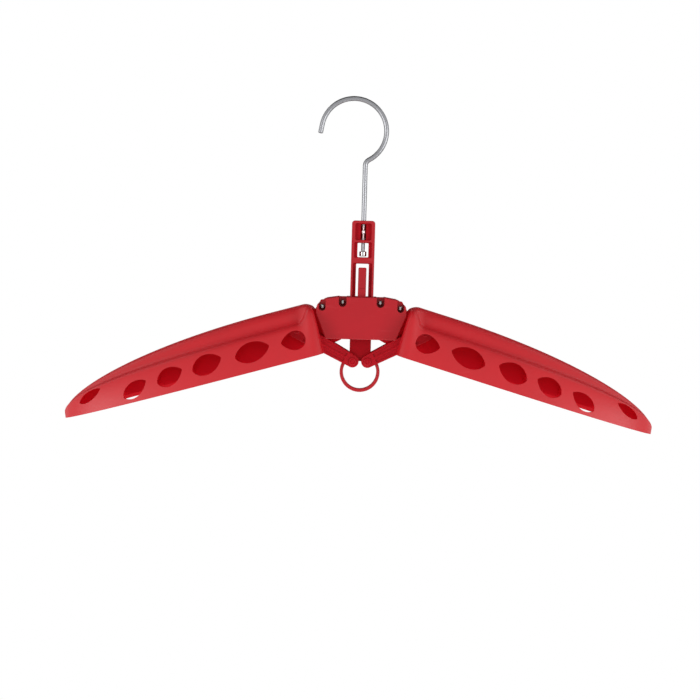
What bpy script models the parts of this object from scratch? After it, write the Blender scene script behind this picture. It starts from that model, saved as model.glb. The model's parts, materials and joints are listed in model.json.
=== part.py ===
"""Folding wetsuit hanger: a swivelling steel hook, a stem that slides through a two-shell housing,
and two hollow wings that links pull down when the ring under the stem is pulled."""

from math import asin, atan2, cos, pi, radians, sin, tau

import bmesh
import bpy
from mathutils import Matrix, Vector

# Units: lengths are written in millimetres and used in metres
mm = 0.001

# Clearances and cutter overrun
seat_gap = 0.3 * mm
slide_gap = 0.4 * mm
turn_gap = 0.5 * mm
overrun = 5 * mm
weld_distance = 0.005 * mm

# Heights of the main stations, measured down from the rail that the hook hangs on
stem_top = -108.6 * mm
housing_top = -177.4 * mm
housing_bottom = -214.9 * mm
hinge_height = -187.2 * mm
link_height = -235.6 * mm
ring_height = -245.4 * mm

# Hook wire
wire_diameter = 4.4 * mm
loop_radius = 29.5 * mm
hook_offset = 11 * mm
hook_tip_angle = radians(170)
hook_tip_run = 8 * mm
shank_bend = 6 * mm
shank_diameter = 3.2 * mm
collar_diameter = 6.4 * mm
collar_length = 4.4 * mm
collar_edge = 0.6 * mm
neck_diameter = 2.4 * mm
neck_length = 3.9 * mm
neck_spacing = 7.2 * mm

# Stem
stem_width = 21 * mm
stem_depth = 14 * mm
stem_corner = 2.8 * mm
stem_edge = 0.6 * mm
head_length = 20 * mm
head_slot_width = 4.4 * mm
head_slot_length = 14.2 * mm
head_slot_inset = 3.1 * mm
notch_reach = 1.5 * mm
notch_height = 2.2 * mm
upper_window_width = 9.9 * mm
upper_window_length = 13 * mm
crossbar_height = 5.9 * mm
lower_window_width = 11.5 * mm
face_recess_depth = 1.1 * mm
face_recess_margin = 2.2 * mm
rail_slot_top_drop = 3.6 * mm
foot_block_height = 4.4 * mm
foot_block_bottom = -214.4 * mm
web_width = 19.2 * mm
web_thickness = 7 * mm
stem_pin_spread = 6.7 * mm
stem_boss_radius = 4.8 * mm

# Pull ring
ring_radius = 18.1 * mm
ring_wall = 2.2 * mm
ring_depth = 7 * mm

# Housing shells
housing_depth = 42 * mm
housing_half_top = 20.5 * mm
housing_half_shoulder = 33 * mm
housing_shoulder_drop = 2 * mm
housing_half_corner = 39.6 * mm
housing_corner_drop = 7.1 * mm
housing_half_side = 40.6 * mm
housing_side_drop = 15 * mm
housing_half_bottom = 31.2 * mm
housing_edge = 0.7 * mm
housing_corner = 4.2 * mm
housing_foot_corner = 1.4 * mm
outer_screw_spread = 35 * mm
inner_screw_spread = 16.9 * mm
inner_screw_height = -182.8 * mm
screw_seat = 6 * mm
pocket_width = 7 * mm
outer_pocket_width = 6.2 * mm
screw_diameter = 3 * mm
screw_head_diameter = 4.8 * mm
screw_head_height = 2 * mm
screw_tip = 1.2 * mm
screw_edge = 0.6 * mm
recess_diameter = 2.2 * mm
recess_depth = 1 * mm
nut_width = 4.8 * mm
nut_height = 2.4 * mm

# Latch tongue
tongue_width = 7.3 * mm
tongue_thickness = 2.4 * mm
tongue_edge = 0.6 * mm
tongue_top = -150.9 * mm
tongue_foot_width = 12 * mm
tongue_foot_height = 3.4 * mm
tongue_foot_z = -186 * mm
thumb_notch_width = 9.6 * mm
thumb_notch_depth = 5.6 * mm
thumb_pad_length = 8 * mm
thumb_pad_rise = 0.7 * mm

# Wings
fold_angle = radians(44)
wing_slope = radians(16.1)
wing_length = 242 * mm
wing_half_width = 45.4 * mm
wing_height = 45 * mm
wing_wall = 2.2 * mm
wing_edge_from_hinge = 8 * mm
hinge_above_edge = 38.5 * mm
width_taper_start = 80 * mm
height_taper_start = 40 * mm
crown_drop = 15.5 * mm
end_radius = 8 * mm
end_blunt = 0.6 * mm
flute_start = 4 * mm
flute_full = 15 * mm
rib_thickness = 1.6 * mm
rib_clear_of_edge = 8 * mm
spine_thickness = 2.6 * mm
spine_clear_of_edge = 5.5 * mm
tip_notch_radius = 9 * mm
tip_notch_depth = 2.6 * mm
crown_slot_length = 8.2 * mm
crown_slot_width = 4.9 * mm
crown_slot_depth = 4 * mm
crown_slot_from_edge = 26.4 * mm
hub_radius = 6.5 * mm
sector_radius = 34 * mm
sector_lead = radians(130)
sector_trail = radians(85)
knuckle_lean = radians(30)
knuckle_end = 46 * mm
knuckle_clear_of_edge = 6 * mm

# Links
link_length = 58 * mm
link_slope = radians(28)
link_inner_radius = 5.6 * mm
link_outer_radius = 7.5 * mm
link_plate = 3 * mm
link_rim = 1.7 * mm
link_panel_depth = 1.1 * mm
link_web_from = 14 * mm
link_web_to = 27 * mm
link_web_height = 5.2 * mm
link_room_inner = 20 * mm
link_room_outer = 46 * mm
link_room_height = 7 * mm
link_pin_diameter = 4 * mm
pin_head_diameter = 7 * mm
pin_head_height = 0.9 * mm
pin_side_play = 1.25 * mm
lost_motion_up = 2.5 * mm
lost_motion_down = 1 * mm

# Shares of the sizes above that shape the wing
across_shares = (0.0, 0.16, 0.29, 0.38, 0.45, 0.52, 0.61, 0.68, 0.745)
fluted_drop_shares = (0.0, 0.02, 0.10, 0.36, 0.74, 0.94, 1.0, 1.08, 1.32)
plain_drop_shares = (0.0, 0.0, 0.01, 0.01, 0.02, 0.03, 0.12, 0.35, 0.80)
wall_bulge_share = 0.93
width_power = 2.5
end_station_shares = (0, 0.2, 0.5, 1, 1.4, 1.9)
station_shares = (0.16, 0.29, 0.42, 0.54, 0.64, 0.73, 0.81, 0.88, 0.93, 0.965, 0.99)
end_height_share = 0.5
hole_shares = (
    (0.101, 0.378, 0.0467, 0.182, 0.10),
    (0.258, 0.369, 0.0657, 0.205, 0.02),
    (0.435, 0.356, 0.0545, 0.205, -0.03),
    (0.579, 0.311, 0.0479, 0.190, -0.10),
    (0.719, 0.235, 0.0440, 0.165, -0.20),
    (0.885, 0.250, 0.0370, 0.125, -0.28),
)
rib_shares = (0.170, 0.328, 0.492, 0.630, 0.768)
leaf_taper_share = 0.3
hole_reach_share = 0.6

# Faceting
arc_steps = 4
round_segments = 24
fastener_segments = 12
ring_segments = 36
wire_resolution = 3

# Places that follow from the sizes
stem_half = stem_width / 2
stem_front = stem_depth / 2
head_bottom = stem_top - head_length
slot_top = stem_top - head_slot_inset
neck_middle = slot_top - head_slot_length / 2
neck_heights = (neck_middle + neck_spacing / 2, neck_middle - neck_spacing / 2)
upper_window_bottom = head_bottom - upper_window_length
lower_window_top = upper_window_bottom - crossbar_height
foot_block_top = foot_block_bottom + foot_block_height
hook_end = upper_window_bottom + stem_edge + seat_gap
link_reach = link_length * cos(link_slope)
link_rise = link_length * sin(link_slope)
wing_pin_x = stem_pin_spread + link_reach
wing_pin_z = link_height + link_rise


def wing_place(x, z):
    """A point of the front view, in the wing's own frame: along the wing from the hinge, and square to it."""
    along = x - outer_screw_spread
    up = z - hinge_height
    return (
        along * cos(wing_slope) - up * sin(wing_slope),
        along * sin(wing_slope) + up * cos(wing_slope),
    )


# Scene, collections and materials
def clear_scene():
    for obj in list(bpy.data.objects):
        bpy.data.objects.remove(obj)
    for collection in list(bpy.data.collections):
        bpy.data.collections.remove(collection)


def make_collection(name):
    collection = bpy.data.collections.new(name)
    bpy.context.scene.collection.children.link(collection)
    return collection


clear_scene()
parts = make_collection("wetsuit_hanger")
cutters = make_collection("cutters")
cutters.hide_render = True


def make_material(name, colour, roughness, metallic):
    material = bpy.data.materials.new(name)
    material.use_nodes = True
    shader = material.node_tree.nodes["Principled BSDF"]
    shader.inputs["Base Color"].default_value = (*colour, 1)
    shader.inputs["Roughness"].default_value = roughness
    shader.inputs["Metallic"].default_value = metallic
    return material


def red_plastic(name):
    return make_material(name, (0.62, 0.035, 0.05), 0.38, 0)


def satin_steel(name):
    return make_material(name, (0.62, 0.63, 0.65), 0.28, 1)


def pivot(name, location=(0, 0, 0), rotation=(0, 0, 0), parent=None):
    """An empty that carries the pieces turning or sliding there."""
    empty = bpy.data.objects.new(name, None)
    empty.location = location
    empty.rotation_euler = rotation
    empty.parent = parent
    parts.objects.link(empty)
    return empty


def place(name, mesh, parent=None, material=None):
    """A new object of a mesh, in the parts if it has a material and among the cutters if not."""
    mesh.name = name
    obj = bpy.data.objects.new(name, mesh)
    obj.parent = parent
    if material:
        obj.data.materials.clear()
        obj.data.materials.append(material)
        parts.objects.link(obj)
    else:
        cutters.objects.link(obj)
        obj.hide_render = True
        obj.display_type = "WIRE"
    return obj


def mesh_from(bm):
    bmesh.ops.recalc_face_normals(bm, faces=bm.faces)
    mesh = bpy.data.meshes.new("shape")
    bm.to_mesh(mesh)
    bm.free()
    return mesh


def box_mesh(low, high):
    bm = bmesh.new()
    bmesh.ops.create_cube(bm, size=1)
    size = Vector(high) - Vector(low)
    bmesh.ops.scale(bm, vec=size, verts=bm.verts)
    bmesh.ops.translate(bm, vec=(Vector(low) + Vector(high)) / 2, verts=bm.verts)
    return mesh_from(bm)


def rod_mesh(radius, y_from, y_to, x=0, z=0, segments=round_segments, turn=0):
    """A round or, with few segments, a many-sided rod along Y."""
    bm = bmesh.new()
    bmesh.ops.create_cone(
        bm, cap_ends=True, segments=segments, radius1=radius, radius2=radius, depth=y_to - y_from
    )
    lay_down = Matrix.Rotation(turn, 4, "Y") @ Matrix.Rotation(pi / 2, 4, "X")
    bmesh.ops.transform(bm, matrix=lay_down, verts=bm.verts)
    bmesh.ops.translate(bm, vec=(x, (y_from + y_to) / 2, z), verts=bm.verts)
    return mesh_from(bm)


def mesh_of_curve(curve):
    """The welded mesh of a curve's evaluated object. The curve and its object are removed."""
    obj = bpy.data.objects.new("outline", curve)
    cutters.objects.link(obj)
    bpy.context.view_layer.update()
    graph = bpy.context.evaluated_depsgraph_get()
    mesh = bpy.data.meshes.new_from_object(obj.evaluated_get(graph))
    bpy.data.objects.remove(obj)
    bpy.data.curves.remove(curve)
    bm = bmesh.new()
    bm.from_mesh(mesh)
    bpy.data.meshes.remove(mesh)
    bmesh.ops.remove_doubles(bm, verts=bm.verts, dist=mm / 1000)
    return bm


def plate_mesh(outlines, y_from, y_to):
    """A flat plate square to Y. Each outline is a loop of (x, z) points, and a loop inside another is a hole."""
    curve = bpy.data.curves.new("outline", "CURVE")
    curve.dimensions = "2D"
    curve.fill_mode = "BOTH"
    curve.extrude = (y_to - y_from) / 2
    for outline in outlines:
        spline = curve.splines.new("POLY")
        spline.points.add(len(outline) - 1)
        for point, (x, z) in zip(spline.points, outline):
            point.co = (x, z, 0, 1)
        spline.use_cyclic_u = True
    bm = mesh_of_curve(curve)
    stand_up = Matrix.Translation((0, (y_from + y_to) / 2, 0)) @ Matrix.Rotation(pi / 2, 4, "X")
    bmesh.ops.transform(bm, matrix=stand_up, verts=bm.verts)
    bmesh.ops.dissolve_limit(bm, angle_limit=radians(0.5), verts=bm.verts, edges=bm.edges)
    return mesh_from(bm)


def arc(x, z, radius, start, end, steps=arc_steps):
    """Points along an arc, angles from +X towards +Z."""
    angles = [start + (end - start) * i / steps for i in range(steps + 1)]
    return [(x + radius * cos(angle), z + radius * sin(angle)) for angle in angles]


def circle(x, z, radius, segments=round_segments):
    return arc(x, z, radius, 0, tau, segments)[:-1]


def rounded(corners):
    """An outline through (x, z, radius) corners, each with radius rounded off."""
    outline = []
    for i, (x, z, radius) in enumerate(corners):
        here = Vector((x, z))
        before = (Vector(corners[i - 1][:2]) - here).normalized()
        after = (Vector(corners[(i + 1) % len(corners)][:2]) - here).normalized()
        if radius == 0:
            outline.append((x, z))
            continue
        half = before.angle(after) / 2
        centre = here + (before + after).normalized() * radius / sin(half)
        first = here + before * radius / abs(sin(half)) * cos(half) - centre
        last = here + after * radius / abs(sin(half)) * cos(half) - centre
        start = atan2(first.y, first.x)
        sweep = (atan2(last.y, last.x) - start + pi) % tau - pi
        outline += arc(centre.x, centre.y, radius, start, start + sweep)
    return outline


def boolean(obj, other, operation="DIFFERENCE"):
    modifier = obj.modifiers.new(other.name, "BOOLEAN")
    modifier.operation = operation
    modifier.object = other


def bake(obj):
    """Turns the modifiers of a repeated piece into its mesh, and removes the shapes that they used."""
    bpy.context.view_layer.update()
    graph = bpy.context.evaluated_depsgraph_get()
    bm = bmesh.new()
    bm.from_object(obj, graph)
    bmesh.ops.remove_doubles(bm, verts=bm.verts, dist=weld_distance)
    mesh = mesh_from(bm)
    used = [modifier.object for modifier in obj.modifiers if modifier.type == "BOOLEAN"]
    obj.modifiers.clear()
    obj.data = mesh
    for other in used:
        bpy.data.objects.remove(other)
    return mesh


def smooth(obj, angle=radians(32)):
    obj.data.shade_smooth()
    obj.data.set_sharp_from_angle(angle=angle)


def joined(meshes):
    """One mesh holding several closed shapes that stand apart, so that one cut makes them all."""
    bm = bmesh.new()
    for mesh in meshes:
        bm.from_mesh(mesh)
        bpy.data.meshes.remove(mesh)
    mesh = bpy.data.meshes.new("shape")
    bm.to_mesh(mesh)
    bm.free()
    return mesh


def post_mesh(radius, z_from, z_to, segments=round_segments):
    """A round rod along Z, turned so that none of its corners lies on the middle planes."""
    bm = bmesh.new()
    bmesh.ops.create_cone(
        bm, cap_ends=True, segments=segments, radius1=radius, radius2=radius, depth=z_to - z_from
    )
    bmesh.ops.rotate(bm, matrix=Matrix.Rotation(pi / segments, 3, "Z"), verts=bm.verts)
    bmesh.ops.translate(bm, vec=(0, 0, (z_from + z_to) / 2), verts=bm.verts)
    return mesh_from(bm)


def turned(name, profile, parent=None, material=None, segments=fastener_segments):
    """A turned piece: (radius, height) points run down its outer side and are swept round Z."""
    bm = bmesh.new()
    points = [bm.verts.new((radius, 0, z)) for radius, z in profile]
    for first, second in zip(points, points[1:]):
        bm.edges.new((first, second))
    if profile[0][0] > 0:
        bm.edges.new((points[-1], points[0]))
    mesh = bpy.data.meshes.new(name)
    bm.to_mesh(mesh)
    bm.free()
    obj = place(name, mesh, parent, material)
    screw = obj.modifiers.new("Turn", "SCREW")
    screw.steps = segments
    screw.render_steps = segments
    screw.use_merge_vertices = True
    screw.merge_threshold = mm / 1000
    return obj


# The frames that carry the bodies
frame = pivot("hanger_frame", (hook_offset, 0, 0))
wing_pivots = {
    "right": pivot("wing_pivot_right", (outer_screw_spread, 0, hinge_height), (0, wing_slope, 0), frame),
    "left": pivot("wing_pivot_left", (-outer_screw_spread, 0, hinge_height), (0, wing_slope, pi), frame),
}
link_pivots = {
    "right": pivot("link_pivot_right", (stem_pin_spread, 0, link_height), (0, -link_slope, 0), frame),
    "left": pivot("link_pivot_left", (-stem_pin_spread, 0, link_height), (0, -link_slope, pi), frame),
}


# The steel hook and its collar
def make_hook():
    loop_z = wire_diameter / 2 - loop_radius
    leave = atan2(
        -((loop_radius + shank_bend) ** 2 - (hook_offset + shank_bend) ** 2) ** 0.5, hook_offset + shank_bend
    )
    loop = arc(0, loop_z, loop_radius, hook_tip_angle, leave, 5 * arc_steps)
    bend_x = (loop_radius + shank_bend) * cos(leave)
    bend_z = loop_z + (loop_radius + shank_bend) * sin(leave)
    bend = arc(bend_x, bend_z, shank_bend, leave + pi, pi, arc_steps)
    tip_x = loop[0][0] - sin(hook_tip_angle) * hook_tip_run
    tip_z = loop[0][1] + cos(hook_tip_angle) * hook_tip_run
    neck = neck_diameter / wire_diameter
    thin = shank_diameter / wire_diameter
    route = [(tip_x, tip_z, 1)] + [(x, z, 1) for x, z in loop + bend[1:]]
    for height in neck_heights:
        high, low = height + neck_length / 2, height - neck_length / 2
        steps = ((high + seat_gap, 1), (high, neck), (low, neck), (low - seat_gap, 1))
        route += [(hook_offset, z, thickness) for z, thickness in steps]
    step_z = head_bottom + stem_edge
    route += [(hook_offset, step_z, 1), (hook_offset, step_z - seat_gap, thin), (hook_offset, hook_end, thin)]
    curve = bpy.data.curves.new("hook", "CURVE")
    curve.dimensions = "3D"
    curve.bevel_depth = wire_diameter / 2
    curve.bevel_resolution = wire_resolution
    curve.use_fill_caps = True
    spline = curve.splines.new("POLY")
    spline.points.add(len(route) - 1)
    for point, (x, z, thickness) in zip(spline.points, route):
        point.co = (x - hook_offset, 0, z, 1)
        point.radius = thickness
    hook = place("hook", mesh_from(mesh_of_curve(curve)), frame, satin_steel("hook_steel"))
    smooth(hook)

    bore = shank_diameter / 2 + seat_gap
    outer = collar_diameter / 2
    collar = turned(
        "hook_collar",
        (
            (bore, collar_length),
            (outer - collar_edge, collar_length),
            (outer, collar_length - collar_edge),
            (outer, collar_edge),
            (outer - collar_edge, 0),
            (bore, 0),
        ),
        frame,
        satin_steel("collar_steel"),
    )
    collar.location = (0, 0, hook_end)


# The stem with its pull ring
def make_stem():
    top = rounded(
        (
            (-stem_half, foot_block_bottom, 0),
            (stem_half, foot_block_bottom, 0),
            (stem_half, stem_top, stem_corner),
            (-stem_half, stem_top, stem_corner),
        )
    )
    stem = place("stem", plate_mesh((top,), -stem_front, stem_front), frame, red_plastic("stem_red"))
    edges = stem.modifiers.new("Edges", "BEVEL")
    edges.width = stem_edge
    edges.segments = 2
    edges.limit_method = "ANGLE"
    edges.angle_limit = radians(50)

    half_web = web_thickness / 2
    web_side = web_width / 2
    web = rounded(
        (
            (-web_side, link_height, stem_corner),
            (web_side, link_height, stem_corner),
            (web_side, foot_block_bottom + foot_block_height / 2, 0),
            (-web_side, foot_block_bottom + foot_block_height / 2, 0),
        )
    )
    boolean(stem, place("foot_web", plate_mesh((web,), -half_web, half_web), frame), "UNION")
    for side in (-1, 1):
        x = side * stem_pin_spread
        boss = place("foot_boss", rod_mesh(stem_boss_radius, -half_web, half_web, x, link_height), frame)
        boolean(stem, boss, "UNION")
    rims = (
        circle(0, ring_height, ring_radius, ring_segments),
        circle(0, ring_height, ring_radius - ring_wall, ring_segments),
    )
    half_ring = ring_depth / 2 - seat_gap / 2
    boolean(stem, place("pull_ring", plate_mesh(rims, -half_ring, half_ring), frame), "UNION")

    wire_bore = post_mesh(wire_diameter / 2 + seat_gap, head_bottom - overrun, stem_top + overrun)
    boolean(stem, place("wire_bore", wire_bore, frame))

    through = stem_front + overrun
    slot_half = head_slot_width / 2
    slot = box_mesh((-slot_half, -through, slot_top - head_slot_length), (slot_half, through, slot_top))
    boolean(stem, place("head_slot", slot, frame))
    notch_half = slot_half + notch_reach
    notches = [
        box_mesh((-notch_half, -through, z - notch_height / 2), (notch_half, through, z + notch_height / 2))
        for z in neck_heights
    ]
    boolean(stem, place("head_notches", joined(notches), frame))

    for name, width, low, high in (
        ("upper_window", upper_window_width, upper_window_bottom, head_bottom),
        ("lower_window", lower_window_width, foot_block_top, lower_window_top),
    ):
        half = width / 2
        corners = ((-half, low), (half, low), (half, high), (-half, high))
        outline = rounded([(*corner, stem_edge) for corner in corners])
        boolean(stem, place(name, plate_mesh((outline,), -through, through), frame))
    recesses = []
    for face in (-1, 1):
        near, far = sorted((face * (stem_front - face_recess_depth), face * through))
        for width, low, high in (
            (upper_window_width, upper_window_bottom, head_bottom),
            (lower_window_width, foot_block_top, lower_window_top),
        ):
            half = width / 2 + face_recess_margin
            recesses.append(box_mesh((-half, near, low - stem_edge), (half, far, high + stem_edge)))
    boolean(stem, place("face_recesses", joined(recesses), frame))
    half_slot = half_web + slide_gap
    rail_slot = box_mesh(
        (-stem_width, -half_slot, foot_block_top + seat_gap),
        (stem_width, half_slot, lower_window_top - rail_slot_top_drop),
    )
    boolean(stem, place("rail_slot", rail_slot, frame))
    pin_holes = [
        rod_mesh(link_pin_diameter / 2 + seat_gap, -through, through, side * stem_pin_spread, link_height)
        for side in (-1, 1)
    ]
    boolean(stem, place("stem_pin_holes", joined(pin_holes), frame))
    smooth(stem)


# The housing's two shells
def housing_outline():
    right = (
        (housing_half_bottom, housing_bottom, housing_foot_corner),
        (housing_half_side, housing_top - housing_side_drop, housing_corner),
        (housing_half_corner, housing_top - housing_corner_drop, housing_corner),
        (housing_half_shoulder, housing_top - housing_shoulder_drop, housing_corner),
        (housing_half_top, housing_top, housing_corner),
    )
    left = tuple((-x, z, radius) for x, z, radius in reversed(right))
    return rounded(right + left)


def screw_places():
    """The four screws from left to right: x, z and the width of the pocket."""
    return (
        (-outer_screw_spread, hinge_height, outer_pocket_width),
        (-inner_screw_spread, inner_screw_height, pocket_width),
        (inner_screw_spread, inner_screw_height, pocket_width),
        (outer_screw_spread, hinge_height, outer_pocket_width),
    )


def pocket_outline(x, z, width):
    top = housing_top + overrun
    return arc(x, z, width / 2, pi, tau, 2 * arc_steps) + [(x + width / 2, top), (x - width / 2, top)]


def wing_slot_outline(side):
    """The slot between the shells that the knuckle turns in: its roof follows the folded wing's leading edge."""
    hub = hub_radius + turn_gap
    folded = -sector_lead - fold_angle
    near_x = outer_screw_spread + hub_radius * cos(folded - knuckle_lean)
    near_z = hinge_height + hub_radius * sin(folded - knuckle_lean) + turn_gap
    far_x = outer_screw_spread + sector_radius * cos(folded)
    far_z = hinge_height + sector_radius * sin(folded) + turn_gap
    hub_edge = outer_screw_spread - hub
    roof = near_z + (hub_edge - near_x) * (near_z - far_z) / (near_x - far_x)
    outer = housing_half_side + overrun
    points = (
        (far_x, far_z),
        (hub_edge, roof),
        (hub_edge, hinge_height + hub),
        (outer, hinge_height + hub),
        (outer, housing_bottom - overrun),
        (far_x, housing_bottom - overrun),
    )
    return [(side * x, z) for x, z in points]


def make_shell(name, face):
    """One shell; face is -1 for the front and +1 for the back."""
    near, far = sorted((face * seat_gap / 2, face * housing_depth / 2))
    shell = place(name, plate_mesh((housing_outline(),), near, far), frame, red_plastic(name + "_red"))
    edges = shell.modifiers.new("Edges", "BEVEL")
    edges.width = housing_edge
    edges.segments = 2
    edges.limit_method = "ANGLE"
    edges.angle_limit = radians(50)

    channel_x = stem_half + slide_gap
    channel_y = stem_front + slide_gap
    channel = box_mesh(
        (-channel_x, -channel_y, housing_bottom - overrun), (channel_x, channel_y, housing_top + overrun)
    )
    boolean(shell, place(name + "_channel", channel, frame))
    half_slot = web_thickness / 2 + slide_gap
    for side in (-1, 1):
        slot = plate_mesh((wing_slot_outline(side),), -half_slot, half_slot)
        boolean(shell, place(name + "_wing_slot", slot, frame))
    link_y = web_thickness / 2 + turn_gap + link_plate + turn_gap
    floor, roof = housing_bottom - overrun, housing_bottom + link_room_height
    link_room = []
    for side in (-1, 1):
        low_x, high_x = sorted((side * link_room_inner, side * link_room_outer))
        link_room.append(box_mesh((low_x, -link_y, floor), (high_x, link_y, roof)))
    boolean(shell, place(name + "_link_room", joined(link_room), frame))
    seat, open_end = sorted((face * screw_seat, face * (housing_depth / 2 + overrun)))
    pockets = [plate_mesh((pocket_outline(*where),), seat, open_end) for where in screw_places()]
    boolean(shell, place(name + "_pockets", joined(pockets), frame))
    holes = [
        rod_mesh(screw_diameter / 2 + seat_gap, -housing_depth, housing_depth, x, z) for x, z, _ in screw_places()
    ]
    boolean(shell, place(name + "_screw_holes", joined(holes), frame))
    return shell


def make_housing():
    front = make_shell("housing_front", -1)
    channel_y = stem_front + slide_gap
    notch_half = thumb_notch_width / 2
    notch = box_mesh(
        (-notch_half, -channel_y - thumb_notch_depth, tongue_foot_z + tongue_foot_height),
        (notch_half, 0, housing_top + overrun),
    )
    boolean(front, place("thumb_notch", notch, frame))
    foot_half = tongue_foot_width / 2 + seat_gap
    foot_room = box_mesh(
        (-foot_half, -channel_y - tongue_thickness - seat_gap, tongue_foot_z - seat_gap),
        (foot_half, 0, tongue_foot_z + tongue_foot_height + seat_gap),
    )
    boolean(front, place("tongue_foot_room", foot_room, frame))
    smooth(front)
    smooth(make_shell("housing_back", 1))


# Screws and nuts
def make_screws():
    head = screw_head_diameter / 2
    shank = screw_diameter / 2
    recess = recess_diameter / 2
    length = 2 * screw_seat + 3 * seat_gap + nut_height + screw_tip
    profile = (
        (0, -recess_depth),
        (recess, -recess_depth),
        (recess, 0),
        (head - screw_edge, 0),
        (head, -screw_edge),
        (head, -screw_head_height),
        (shank, -screw_head_height),
        (shank, -screw_head_height - length),
        (0, -screw_head_height - length),
    )
    screw_mesh = bake(turned("screw_pattern", profile))
    nut = place("nut_pattern", rod_mesh(nut_width / 2 / cos(pi / 6), 0, nut_height, segments=6, turn=pi / 6))
    boolean(nut, place("nut_bore", rod_mesh(shank + seat_gap, -overrun, nut_height + overrun)))
    nut_mesh = bake(nut)
    for number, (x, z, _) in enumerate(screw_places(), 1):
        screw = place(f"screw_{number}", screw_mesh.copy(), frame, satin_steel("screw_steel"))
        screw.location = (x, -screw_seat - seat_gap - screw_head_height, z)
        screw.rotation_euler = (pi / 2, 0, 0)
        smooth(screw)
        nut = place(f"nut_{number}", nut_mesh.copy(), frame, satin_steel("nut_steel"))
        nut.location = (x, screw_seat + seat_gap, z)
    for obj in [obj for obj in cutters.objects if obj.name.endswith("_pattern")]:
        bpy.data.objects.remove(obj)


# The latch tongue
def make_tongue():
    pivot_y = -(stem_front + slide_gap + tongue_thickness / 2)
    pivot_z = tongue_foot_z + tongue_foot_height / 2
    carrier = pivot("tongue_pivot", (0, pivot_y, pivot_z), parent=frame)
    half = tongue_width / 2
    foot = tongue_foot_width / 2
    outline = rounded(
        (
            (-foot, -tongue_foot_height / 2, tongue_edge),
            (foot, -tongue_foot_height / 2, tongue_edge),
            (foot, tongue_foot_height / 2, tongue_edge),
            (half, tongue_foot_height / 2, 0),
            (half, tongue_top - pivot_z, tongue_edge),
            (-half, tongue_top - pivot_z, tongue_edge),
            (-half, tongue_foot_height / 2, 0),
            (-foot, tongue_foot_height / 2, tongue_edge),
        )
    )
    thick = tongue_thickness / 2
    tongue = place("latch_tongue", plate_mesh((outline,), -thick, thick), carrier, red_plastic("tongue_red"))
    pad = rounded(
        (
            (-half + tongue_edge, tongue_top - pivot_z - thumb_pad_length, tongue_edge),
            (half - tongue_edge, tongue_top - pivot_z - thumb_pad_length, tongue_edge),
            (half - tongue_edge, tongue_top - pivot_z - tongue_edge, tongue_edge),
            (-half + tongue_edge, tongue_top - pivot_z - tongue_edge, tongue_edge),
        )
    )
    pad_mesh = plate_mesh((pad,), -thick - thumb_pad_rise, 0)
    boolean(tongue, place("thumb_pad", pad_mesh, carrier), "UNION")
    smooth(tongue)


# The wings
def wing_widths(along):
    """The half-width and the height of the wing's outside, tapering to the tip and rounded at the inner end."""
    width_taper = max(0, (along - width_taper_start) / (wing_length - width_taper_start))
    height_taper = max(0, (along - height_taper_start) / (wing_length - height_taper_start))
    half_width = wing_half_width * (1 - width_taper**width_power) ** (1 / width_power)
    height = wing_height * (1 - height_taper**2) ** 0.5
    reach = max(0, 1 - (along + end_blunt) / end_radius)
    rounding = end_radius * (1 - (1 - reach**2) ** 0.5)
    return half_width - rounding, height - rounding * end_height_share


def wing_section(along, inset):
    """A closed section of (across, up) points: crown, flute, shoulder and side wall, drawn in by the inset."""
    half_width, height = wing_widths(max(0, along - inset))
    drop = crown_drop * (height / wing_height) ** 2
    fade = min(1, max(0, (along - flute_start) / (flute_full - flute_start)))
    right = []
    for across, fluted, plain in zip(across_shares, fluted_drop_shares, plain_drop_shares):
        down = plain + (fluted - plain) * fade
        right.append(Vector((half_width * across, height - drop * down)))
    wall_top, wall_foot = right[-1], Vector((half_width, 0))
    bulge = half_width * (1 - wall_bulge_share) / 4
    right += [(wall_top + wall_foot) / 2 + Vector((bulge, 0)), wall_foot]
    if inset:
        right = drawn_in(right, inset) + [Vector((half_width - inset, -overrun))]
    return [tuple(point) for point in right] + [(-point.x, point.y) for point in reversed(right[1:])]


def drawn_in(points, inset):
    """The points of half a section moved inwards by the wall, each square to the skin round it."""
    moved = []
    for i, point in enumerate(points):
        before = points[i - 1] if i else Vector((-points[1].x, points[1].y))
        after = points[i + 1] if i + 1 < len(points) else point * 2 - before
        run = (after - before).normalized()
        moved.append(point + Vector((run.y, -run.x)) * inset)
    moved[0].x = 0
    moved[-1].y = 0
    return moved


def wing_loft(stations, inset):
    """A closed solid lofted through the wing's sections, in the frame of the wing's hinge."""
    bm = bmesh.new()
    rings = []
    for along in stations:
        across_up = wing_section(along, inset)
        where = along + wing_edge_from_hinge
        points = [bm.verts.new((where, across, up - hinge_above_edge)) for across, up in across_up]
        edges = [bm.edges.new((points[i - 1], points[i])) for i in range(len(points))]
        rings.append(edges)
    for first, second in zip(rings, rings[1:]):
        bmesh.ops.bridge_loops(bm, edges=first + second)
    for end in (rings[0], rings[-1]):
        bmesh.ops.contextual_create(bm, geom=end)
    bmesh.ops.triangulate(bm, faces=[face for face in bm.faces if len(face.verts) > 4])
    return mesh_from(bm)


def wing_box(along_from, along_to, half_across, up_from, up_to):
    """A box in the wing, from distances along it and heights above its lower edge."""
    return box_mesh(
        (along_from + wing_edge_from_hinge, -half_across, up_from - hinge_above_edge),
        (along_to + wing_edge_from_hinge, half_across, up_to - hinge_above_edge),
    )


def leaf(along, up, half_length, half_height, tilt):
    """A leaf-shaped hole, blunt at its inner end and drawn out at its outer end."""
    outline = []
    for i in range(4 * arc_steps):
        angle = tau * i / (4 * arc_steps)
        taper = 1 - leaf_taper_share * (1 + cos(angle)) / 2
        x = half_length * cos(angle)
        z = half_height * sin(angle) * taper
        outline.append((along + x * cos(tilt) - z * sin(tilt), up + x * sin(tilt) + z * cos(tilt)))
    return outline


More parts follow.
